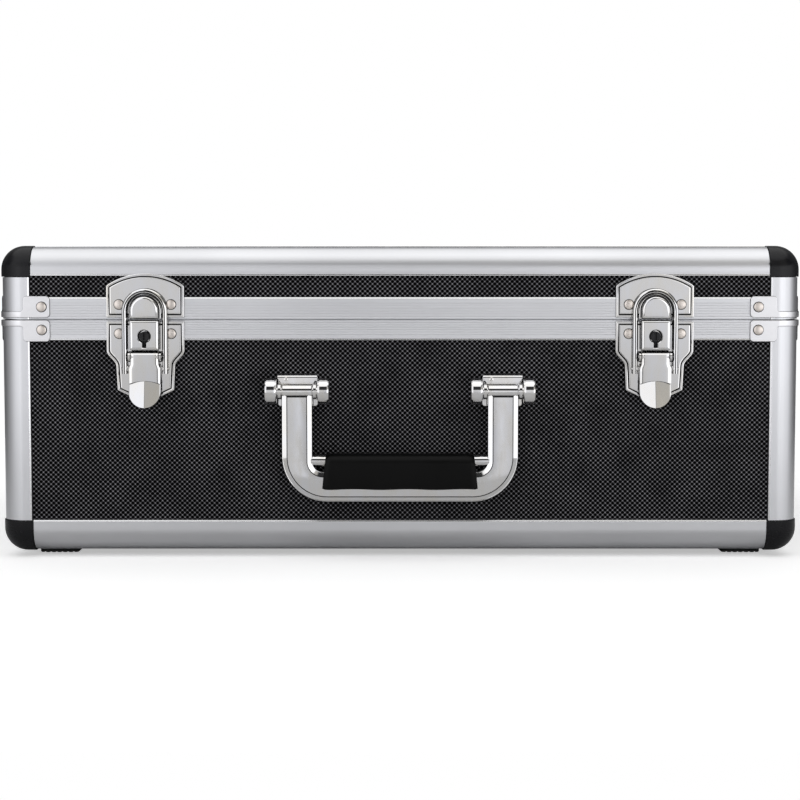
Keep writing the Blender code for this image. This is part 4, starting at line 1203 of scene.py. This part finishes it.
def latch_base(side, centre_x):
    """The base's half of a draw latch: its plate, the lock's box with a keyhole, and two ears."""
    lever = joint_at(f"latch_lever_{side}")
    lock = joint_at(f"lock_turn_{side}")
    plate = relief(base_plate_outline(), PLATE_PROFILE, centre_x)
    x_limits = (centre_x - WINDOW_HALF, centre_x + WINDOW_HALF)
    corners = rectangle(*x_limits, height(WINDOW_BOTTOM), height(WINDOW_TOP), 0.6)
    window = prism(rounded(corners), front(3), front(-1), "Y")
    plate = cut(plate, window)
    box_corners = rectangle(-LOCK_HALF, LOCK_HALF, LOCK_BOTTOM, LOCK_TOP, 0.7)
    box_profile = ((0, 1.4), (0, 6.4), (0.15, 7.0), (0.5, 7.4), (1.0, 7.6), (1.7, 7.65))
    lock_box = relief(box_corners, box_profile, centre_x)
    keyhole_rings = []
    for inset, proud in ((-0.75, 8.2), (-0.6, 7.66), (-0.1, 7.2), (0.0, 6.9), (0.0, 2.4)):
        ring = [(lock.x + a, front(proud), lock.z + b) for a, b in rounded(keyhole_outline(), inset)]
        keyhole_rings.append(ring)
    lock_box = cut(lock_box, loft(keyhole_rings))
    outline = [(front(1.2), lever.z - 3.2), *arc((lever.y, lever.z), LEVER_EAR_RADIUS, 270, 90, 16)]
    outline.append((front(1.2), lever.z + 3.2))
    ears = []
    for sign in (-1, 1):
        reach = sorted((centre_x + sign * LEVER_EAR_INNER, centre_x + sign * LEVER_EAR_OUTER))
        ears.append(prism(outline, *reach, "X"))
        pin = (centre_x + sign * (LEVER_EAR_OUTER - 0.1), lever.y, lever.z)
        ears.append(turned([(1.4, 0.0), (1.4, 0.3), (1.1, 0.5), (0.0, 0.55)], pin, (sign, 0, 0), 16))
    # The steep walls of the plate, the lock box, the keyhole and the ears are painted near black: painted
    # shade and painted dark reflection
    piece(
        f"latch_plate_{side}", joined(plate, lock_box, *ears), CHROME, "base",
        [f"latch_base_plate_{side}"], angle=40, accent=PAINTED_SHADE_EDGES,
    )


def latch_rivets(part, side, centre_x):
    """The two rivets in one half of a latch."""
    z = height(LATCH_RIVET_HEIGHTS[part])
    heads = [rivet((centre_x + sign * LATCH_RIVET_X, front(1.72), z), (0, -1, 0)) for sign in (-1, 1)]
    # The heads' steep sides are painted near black: painted shade round their seats
    piece(
        f"latch_{part}_rivets_{side}", joined(*heads), RIVET_NICKEL, part,
        accent=PAINTED_SHADE_EDGES,
    )


def lever_half_width(z):
    """Half the lever's width at a height: a neck, a rounded shoulder, then straight sides."""
    share = min(max((z - LEVER_SHOULDER + 2.4) / 2.4, 0.0), 1.0)
    return LEVER_HALF + (LEVER_NECK_HALF - LEVER_HALF) * (3 - 2 * share) * share**2


# Shares of the lever's half width, closest together at its sides and its middle
LEVER_SHARES = [-1, -0.985, -0.95, -0.87, -0.76, -0.64, -0.52, -0.4, -0.28, -0.16, -0.06, -0.02, 0]
LEVER_SHARES += [-share for share in reversed(LEVER_SHARES[:-1])]


def lever_grid():
    """Rows of points down the lever's face, as (across, height, proud).

    The face is flat down to an arched step. Below it the thumb tab leans out towards its round end.
    """
    top, face = LEVER_TOP, LATCH_FRONT
    rows = [(top + 0.75, 0.0, face - 2.6), (top + 0.6, 0.0, face - 1.1), (top + 0.3, 0.0, face - 0.35)]
    rows += [(top - 0.1 + (LEVER_STEP - top + 0.1) * (i / 12), i / 12, face) for i in range(13)]
    grid = []
    for middle, arch, proud in rows:
        row = []
        for share in LEVER_SHARES:
            z = middle - LEVER_ARCH * share**2 * arch
            row.append((lever_half_width(z) * share, z, proud - 0.12 * share**8))
        grid.append(row)
    for i in range(15):
        fall, row = i / 14, []
        for share in LEVER_SHARES:
            tab_top = LEVER_STEP - 0.25 - LEVER_ARCH * share**2
            tab_end = LEVER_BOTTOM + 0.02 + LEVER_HALF * (1 - math.sqrt(max(1 - share**2, 0.0)))
            z = tab_top * (1 - fall) + tab_end * fall
            proud = TAB_PROUD + TAB_LEAN * (LEVER_STEP - z) + LEVER_CREASE * (0.5 - abs(share))
            row.append((LEVER_HALF * share, z, proud))
        grid.append(row)
    return grid


def lever_flanges(centre_x, axis, hub):
    """The lever's side flanges, the cheeks above them and the knuckle between them."""
    back = front(LATCH_FRONT - 1.0)
    flange = [(back, height(LEVER_SHOULDER) - 1.6), *arc((hub.y, hub.z), 2.0, 80, -80, 12)]
    flange += [(front(5.6), height(97.8)), (back, height(100.4))]
    cheek = [(back, axis.z), (axis.y + 0.6, axis.z), (hub.y + 0.4, hub.z - 1.0), (back, hub.z - 1.0)]
    knuckle = two_ended([(2.9, 0.0), (LEVER_KNUCKLE, 0.3)], 2 * LEVER_NECK_HALF)
    shapes = [turned(knuckle, (centre_x - LEVER_NECK_HALF, axis.y, axis.z), (1, 0, 0), 28)]
    for sign in (-1, 1):
        walls = ((flange, LEVER_HALF - 1.25, LEVER_HALF - 0.05), (cheek, 6.6, LEVER_NECK_HALF - 0.05))
        for outline, inner, outer in walls:
            reach = sorted((centre_x + sign * inner, centre_x + sign * outer))
            shapes.append(prism(outline, *reach, "X"))
    return joined(*shapes)


def latch_lever(side, centre_x):
    """A pressed lever: its face with a creased thumb tab, its flanges and its knuckle."""
    grid = lever_grid()
    layers = []
    for layer, round_edge in ((0.0, 0.35), (SHEET, 0.0)):
        rows = []
        for row in grid:
            points = []
            for share, (across, z, proud) in zip(LEVER_SHARES, row):
                edge = round_edge * max(abs(share) - 0.93, 0.0) / 0.07
                points.append((centre_x + across, front(proud - layer - edge), height(z)))
            rows.append(points)
        layers.append(rows)
    body, nodes = f"lever_{side}", [f"latch_lever_{side}"]
    # The face's steep rims are painted near black: painted shade and painted dark reflection along its edges
    piece(
        f"lever_{side}_face", slab(*layers), CHROME, body, nodes, angle=24,
        accent=PAINTED_SHADE_EDGES,
    )
    flanges = lever_flanges(centre_x, joint_at(f"latch_lever_{side}"), joint_at(f"latch_bail_{side}"))
    piece(f"lever_{side}_flanges", flanges, CHROME, body, nodes, angle=24)


def latch_bail(side, centre_x):
    """A bent rod loop with flattened feet turned into the lever."""
    hub = joint_at(f"latch_bail_{side}")
    bend = BAIL_OUTER_HALF - BAIL_ROD
    foot_z = hub.z - 2.9
    loop = arc((0, height(BAIL_TOP - BAIL_ROD - bend)), bend, 180, 0, 36)
    flat_path = [(-bend, foot_z), (-bend, foot_z + 0.5), *loop, (bend, foot_z + 0.5), (bend, foot_z)]
    path = [(centre_x + x, hub.y, z) for x, z in flat_path]
    shapes = [tube(path, BAIL_ROD, (0, 1, 0), 32)]
    for sign in (-1, 1):
        start = (centre_x + sign * 8.0, hub.y, hub.z)
        length = bend - 8.0 + BAIL_ROD + 0.35
        shapes.append(turned([(1.0, 0.0), (1.0, length - 0.5), (0.7, length)], start, (sign, 0, 0), 20))
        collar = (centre_x + sign * 9.5, hub.y, hub.z)
        shapes.append(turned([(1.6, 0.0), (1.9, 0.2), (1.9, 0.7), (1.6, 0.9)], collar, (sign, 0, 0), 20))
    # The loop's sloping sides are painted near black: painted dark reflection along its outline
    piece(
        f"bail_{side}_loop", joined(*shapes), CHROME, f"bail_{side}",
        [f"latch_bail_{side}"], angle=30, accent=PAINTED_SHADE_GROOVES,
    )


def latches():
    for side, _ in SIDES:
        low, high = node_box(f"latch_keeper_{side}")
        centre_x = (low.x + high.x) / 2
        latch_keeper(side, centre_x)
        latch_base(side, centre_x)
        latch_lever(side, centre_x)
        latch_bail(side, centre_x)
        for part, _ in PARTS:
            latch_rivets(part, side, centre_x)
        cam = frame["nodes"][f"lock_cam_{side}"]
        cam.data.materials.clear()
        cam.data.materials.append(LOCK_ZINC)


# ---------------------------------------------------------------- handle


def handle_outline(arm_x, axis_height):
    """The flat U of the handle, anticlockwise from its left arm's top."""
    outer, inner = arm_x + ARM_HALF, arm_x - ARM_HALF
    rail_top = HANDLE_BOTTOM + 2 * ARM_HALF
    return [
        (-outer, axis_height, 0),
        (-outer, HANDLE_BOTTOM, HANDLE_OUTER_RADIUS),
        (outer, HANDLE_BOTTOM, HANDLE_OUTER_RADIUS),
        (outer, axis_height, 0),
        (inner, axis_height, 0),
        (inner, rail_top, HANDLE_INNER_RADIUS),
        (-inner, rail_top, HANDLE_INNER_RADIUS),
        (-inner, axis_height, 0),
    ]


def handle_casting(axis, arm_x):
    """The cast U, with a bevel and a fine groove round each flat face, its knuckles and the core rod."""
    outline = handle_outline(arm_x, axis.z - BOTTOM_Z)
    proud = FRONT_Y - axis.y
    half = HANDLE_HALF_THICKNESS
    side = (
        (0.0, 0.0), (0.0, half - 1.6), (0.35, half - 0.95), (0.6, half - 0.9), (0.75, half - 0.95),
        (2.8, half - 0.42), (3.05, half - 0.86), (3.3, half - 0.42), (7.9, half - 0.4),
    )
    profile = [(inset, proud - out) for inset, out in reversed(side)]
    profile += [(inset, proud + out) for inset, out in side[1:]]
    # Its sloping groove walls and bevels are painted near black: painted shade and painted dark reflection
    piece(
        "handle_frame", relief(outline, profile, 0.0, 28), CHROME, "handle",
        ["handle_casting"], angle=9, accent=PAINTED_SHADE_GROOVES,
    )
    knuckle = two_ended([(2.8, 0.0), (3.6, 0.05), (half, 0.6)], 2 * ARM_HALF)
    shapes = []
    for sign in (-1, 1):
        start = (sign * (arm_x - ARM_HALF), axis.y, axis.z)
        shapes.append(turned(knuckle, start, (sign, 0, 0), 64))
    reach = arm_x - ARM_HALF + 1.0
    start = (-reach, axis.y, height(CORE_ROD_HEIGHT))
    rod = turned(two_ended([(CORE_ROD, 0.0)], 2 * reach), start, (1, 0, 0), 28)
    piece("handle_knuckles", joined(*shapes, rod), CHROME, "handle", ["handle_casting"])


def handle_grip(axis):
    """The moulded grip, swept along the rail, with slanted ends and a slightly uneven lower edge."""
    stations = 56
    rings = []
    middle = axis.y
    slot_half = HANDLE_HALF_THICKNESS + 0.75
    slot_top = height(HANDLE_BOTTOM + 2 * ARM_HALF) + 0.4
    for i in range(stations + 1):
        share = 2 * i / stations - 1
        ease = max(abs(share) - 0.94, 0.0) / 0.06
        shrink = 0.9 * (1 - math.sqrt(max(1 - ease**2, 0.0)))
        face, back = front(GRIP_FRONT - shrink), front(GRIP_BACK + shrink)
        top = height(GRIP_TOP) - shrink
        low = height(GRIP_BOTTOM) + shrink * 0.5 + 0.22 * math.sin(9.0 * share + 0.6) * (1 - ease)
        section = [
            (face + 0.6, low),
            (face + 0.15, low + 0.2),
            (face, low + 0.8),
            (face - 0.25, low + 7.0),
            *arc((face + GRIP_ROUND, top - GRIP_ROUND), GRIP_ROUND, 180, 90, 12),
            *arc((back - GRIP_ROUND, top - GRIP_ROUND), GRIP_ROUND, 90, 0, 12),
            (back + 0.2, low + 7.0),
            (back, low + 0.8),
            (back - 0.15, low + 0.2),
            (back - 0.6, low),
            (middle + slot_half, low),
            (middle + slot_half, slot_top),
            (middle - slot_half, slot_top),
            (middle - slot_half, low),
        ]
        ring = []
        for y, z in section:
            drop = (height(GRIP_TOP) - z) / (GRIP_TOP - GRIP_BOTTOM)
            half = GRIP_HALF_TOP + (GRIP_HALF_BOTTOM - GRIP_HALF_TOP) * drop
            ring.append((share * half, y, z))
        rings.append(ring)
    piece("grip", loft(rings), GRIP_PLASTIC, "handle", ["handle_grip"], angle=50)


def handle_bracket(side, centre_x, axis):
    """A plate on the front wall with two ears for the axle and a bent lip that stops the arm."""
    back, face = -BOARD_INSET + GAP, 0.7
    corners = rectangle(-MOUNT_PLATE_HALF, MOUNT_PLATE_HALF, MOUNT_PLATE_BOTTOM, MOUNT_PLATE_TOP, 1.2)
    plate = relief(corners, ((0, back), (0, face - 0.25), (0.25, face)), centre_x)
    face_half = STOP_LIP_HALF - MOUNT_PLATE_HALF
    bend, lip_top = 1.1, MOUNT_PLATE_TOP - 0.65
    turn = arc((STOP_LIP_PROUD - 0.65 - bend, bend), bend, -90, 0, 8)
    path = [(face - 0.4, lip_top, 0.0), *[(proud, lip_top - drop, 0.0) for proud, drop in turn]]
    path.append((STOP_LIP_PROUD - 0.65, STOP_LIP_HEIGHT, 1.0))
    rings = []
    for i, (proud, z, share) in enumerate(path):
        before, after = path[max(i - 1, 0)], path[min(i + 1, len(path) - 1)]
        along = Vector((after[0] - before[0], after[1] - before[1])).normalized() * 0.6
        half = MOUNT_PLATE_HALF + face_half * share
        ring = []
        for skin, a in ((1, -half), (1, half), (-1, half), (-1, -half)):
            ring.append((centre_x + a, front(proud - skin * along.y), height(z + skin * along.x)))
        rings.append(ring)
    shapes = [plate, loft(rings)]
    outline = [(front(back), axis.z - 5.6), *arc((axis.y, axis.z), MOUNT_EAR_RADIUS, 250, 110, 16)]
    outline.append((front(back), axis.z + 5.6))
    for sign in (-1, 1):
        reach = sorted((centre_x + sign * MOUNT_EAR_INNER, centre_x + sign * MOUNT_EAR_OUTER))
        shapes.append(prism(outline, *reach, "X"))
    mark = (centre_x - 6.4, front(STOP_LIP_PROUD), height(100.4))
    shapes.append(rivet(mark, (0, -1, 0), 1.1, 0.4))
    piece(
        f"handle_mount_{side}", joined(*shapes), CHROME, "base",
        [f"handle_bracket_{side}"], bevel=0.12, steps=2, angle=40,
    )


def handle_axle(side, centre_x, axis):
    """An axle with a round boss on each end."""
    reach = BOSS_CENTRE + BOSS_WIDTH / 2
    w, r = BOSS_WIDTH, BOSS_RADIUS
    boss = [(0.0, 0.0), (r - 2.4, 0.0), (r - 2.0, 0.15), (r - 1.1, 0.2), (r - 0.35, 0.5), (r, 1.2)]
    boss += [(r, 1.45), (r, w - 1.45), (r, w - 1.2), (r - 0.35, w - 0.5), (r - 1.1, w - 0.15), (2.5, w)]
    shape = turned(two_ended(boss, 2 * reach), (centre_x - reach, axis.y, axis.z), (1, 0, 0), 48)
    piece(f"handle_pivot_{side}", shape, CHROME, "base", [f"handle_axle_{side}"], angle=38)


def handle():
    axis = joint_at("handle_swing")
    low, high = node_box("handle_bracket_right")
    arm_x = (low.x + high.x) / 2
    handle_casting(axis, arm_x)
    handle_grip(axis)
    for side, sign in SIDES:
        handle_bracket(side, sign * arm_x, axis)
        handle_axle(side, sign * arm_x, axis)


# ---------------------------------------------------------------- foam


def foam_sheet(node, name, body, z_face, z_back, waves):
    """A foam lining: a grid over its whole face, rolled off at the rim, with egg-crate waves if asked."""
    low, high = node_box(node)
    pitch, depth, roll = 26.0, 9.0, 5.0
    count_x, count_y = (132, 92) if waves else (90, 64)
    inwards = 1 if z_face > z_back else -1
    thickness = abs(z_face - z_back)
    top, bottom = [], []
    for j in range(count_y + 1):
        y = low.y + (high.y - low.y) * j / count_y
        top.append([])
        bottom.append([])
        for i in range(count_x + 1):
            x = low.x + (high.x - low.x) * i / count_x
            edge = min(x - low.x, high.x - x, y - low.y, high.y - y)
            ease = min(edge / roll, 1.0)
            fall = (1 - math.sqrt(max(1 - (1 - ease) ** 2, 0.0))) * 2.4
            crown = 0.25 * math.sin(x / 37.0) * math.sin(y / 29.0)
            if waves:
                wave = math.sin(2 * math.pi * x / pitch) * math.sin(2 * math.pi * y / pitch)
                crown = -depth * (0.5 - 0.5 * wave) * ease
            sunk = min(max(fall - crown, 0.0), thickness - 2.0)
            top[-1].append((x, y, z_face - inwards * sunk))
            bottom[-1].append((x, y, z_back))
    pad = piece(name, slab(top, bottom), FOAM, body, [node], angle=60)


def linings():
    low, high = node_box("base_foam_mat")
    foam_sheet("base_foam_mat", "base_foam", "base", high.z, low.z, False)
    low, high = node_box("lid_foam_pad")
    foam_sheet("lid_foam_pad", "lid_egg_crate_foam", "lid", low.z, high.z, True)


# ---------------------------------------------------------------- studio


def floor():
    """A pale table top. What the case reflects of it is dimmer than what the camera sees."""
    paint = Paint("pale_floor", (0.87, 0.87, 0.87), 0.7)
    paint.set("Specular IOR Level", 0.1)
    paint.set("Emission Color", (1.0, 1.0, 1.0, 1.0))
    paint.set("Emission Strength", FLOOR_GLOW)
    dim = paint.add("BsdfDiffuse", 0, {"Color": (*grey(FLOOR_DIM), 1.0)})
    seen = paint.add("LightPath", "Is Camera Ray")
    blend = paint.add("MixShader", 0, {0: seen, 1: dim, 2: paint.shader.outputs[0]})
    paint.feed(paint.tree.nodes["Material Output"].inputs["Surface"], blend)
    mesh = bpy.data.meshes.new("floor")
    corners = ((-1, -1), (1, -1), (1, 1), (-1, 1))
    mesh.from_pydata([(x * TABLE_HALF, y * TABLE_HALF, 0.0) for x, y in corners], [], [(0, 1, 2, 3)])
    mesh.materials.append(paint.material)
    made = bpy.data.objects.new("floor", mesh)
    bpy.context.scene.collection.objects.link(made)


def ramp(nodes, turn, stops):
    """Brightness by bearing, from stops of degrees, brightness and any tint but the cool one."""
    colours = nodes.add("ValToRGB", "Color", {"Fac": turn})
    curve = colours.node.color_ramp
    curve.interpolation = "EASE"
    while len(curve.elements) < len(stops):
        curve.elements.new(0.5)
    for element, (bearing, brightness, *tint) in zip(curve.elements, stops):
        element.position = bearing / 360 + 0.5
        element.color = (*grey(brightness, *(tint or [COOL])), 1.0)
    return colours


# How bright the room is at each bearing from the camera's side, in degrees, at eye level
ROOM = (
    (-180, 0.35), (-150, 0.06), (-126, 0.1), (-106, 0.14), (-77, 0.44), (-47, 1.0), (-25, 1.42), (-15, 1.35),
    (-9, 0.64), (-4.5, 0.6), (-3, 0.86), (-1.3, 0.06), (1.3, 0.06), (3, 0.92), (4.5, 0.62), (9, 0.68),
    (15, 1.6), (30, 1.65), (67, 1.2), (90, 0.46), (106, 0.16), (126, 0.1), (150, 0.06), (180, 0.35),
)
# The same in the band between eye level and the roof: a bright window on the left, a warm wall on
# the right and darkness elsewhere
BAND = (
    (-180, 0.25), (-76, 0.1), (-62, 1.0), (-12, 1.0), (-8, 0.03), (7, 0.03), (11, 0.42, WARM),
    (50, 0.46, WARM), (64, 0.1), (180, 0.25),
)
BELOW = 0.8
BELOW_ENDS = (-5, -1)
BAND_STARTS = (14, 18)
ROOF_STARTS = (45, 50)
ROOF_LIGHT = 1.08
FLOOR_GLOW = 0.45
FLOOR_DIM = 0.62
TABLE_HALF = 0.6


def studio():
    """A bright tent: a room with a darker band over it, and a soft white roof."""
    world = bpy.data.worlds.new("tent")
    bpy.context.scene.world = world
    world.use_nodes = True
    world.node_tree.nodes.clear()
    nodes = Nodes(world.node_tree)
    x, y, z = nodes.add("SeparateXYZ", 0, {0: nodes.add("TexCoord", "Generated")}).node.outputs
    bearing = nodes.math("ARCTAN2", x, nodes.math("MULTIPLY", y, -1.0))
    turn = nodes.math("MULTIPLY_ADD", bearing, 0.5 / math.pi, 0.5)
    rise = nodes.math("MULTIPLY", nodes.math("ARCSINE", z), 180 / math.pi)

    def above(limits):
        """0 below a pair of elevations and 1 above it."""
        return nodes.ranged(rise, *limits, interpolation_type="SMOOTHSTEP")

    room = nodes.mixed(above(BELOW_ENDS), grey(BELOW), grey(1.0))
    room = nodes.mixed(1.0, room, ramp(nodes, turn, ROOM), "MULTIPLY")
    tent = nodes.mixed(above(BAND_STARTS), room, ramp(nodes, turn, BAND))
    tent = nodes.mixed(above(ROOF_STARTS), tent, grey(ROOF_LIGHT))
    seen = nodes.add("LightPath", "Is Camera Ray")
    light = nodes.add("Background", 0, {"Color": nodes.mixed(seen, tent, grey(1.0))})
    nodes.feed(nodes.tree.nodes.new("ShaderNodeOutputWorld").inputs["Surface"], light)


def softbox(name, place, aim, width, depth, power):
    """A rectangular soft light aimed at a point; lengths in metres, power in watts."""
    light = bpy.data.lights.new(name, "AREA")
    light.shape = "RECTANGLE"
    light.size = width
    light.size_y = depth
    light.energy = power
    made = bpy.data.objects.new(name, light)
    made.location = place
    made.rotation_euler = (Vector(aim) - Vector(place)).to_track_quat("-Z", "Y").to_euler()
    bpy.context.scene.collection.objects.link(made)


def camera():
    """A distant camera a little above the handle, looking slightly down."""
    data = bpy.data.cameras.new("camera")
    data.lens = CAMERA_LENS
    data.sensor_width = 36.0
    made = bpy.data.objects.new("camera", data)
    made.location = Vector((0.0, front(CAMERA_DISTANCE), CAMERA_HEIGHT)) / MM
    made.rotation_euler = (math.radians(90.0 - CAMERA_PITCH), 0.0, 0.0)
    bpy.context.scene.collection.objects.link(made)
    bpy.context.scene.camera = made


# ---------------------------------------------------------------- the whole case


def case():
    for part, _ in PARTS:
        wall_boards(part)
        edge_extrusions(part)
        closure_frames(part)
        bracket_rivets(part)
        for where, x_sign, y_sign in CORNERS:
            corner_post(part, where, x_sign, y_sign)
            corner_cap(part, where, x_sign, y_sign)
            corner_bracket(part, where, x_sign, y_sign)
    flat_boards()
    for where, _, _ in CORNERS:
        foot(where)
    for side, _ in SIDES:
        hinge(side)
    latches()
    handle()
    linings()


case()
floor()
studio()
softbox("overhead", (0.0, -0.3, 1.6), (0.0, 0.0, 0.1), 1.6, 0.8, 0.6)
camera()
bpy.context.scene.view_settings.view_transform = "Standard"
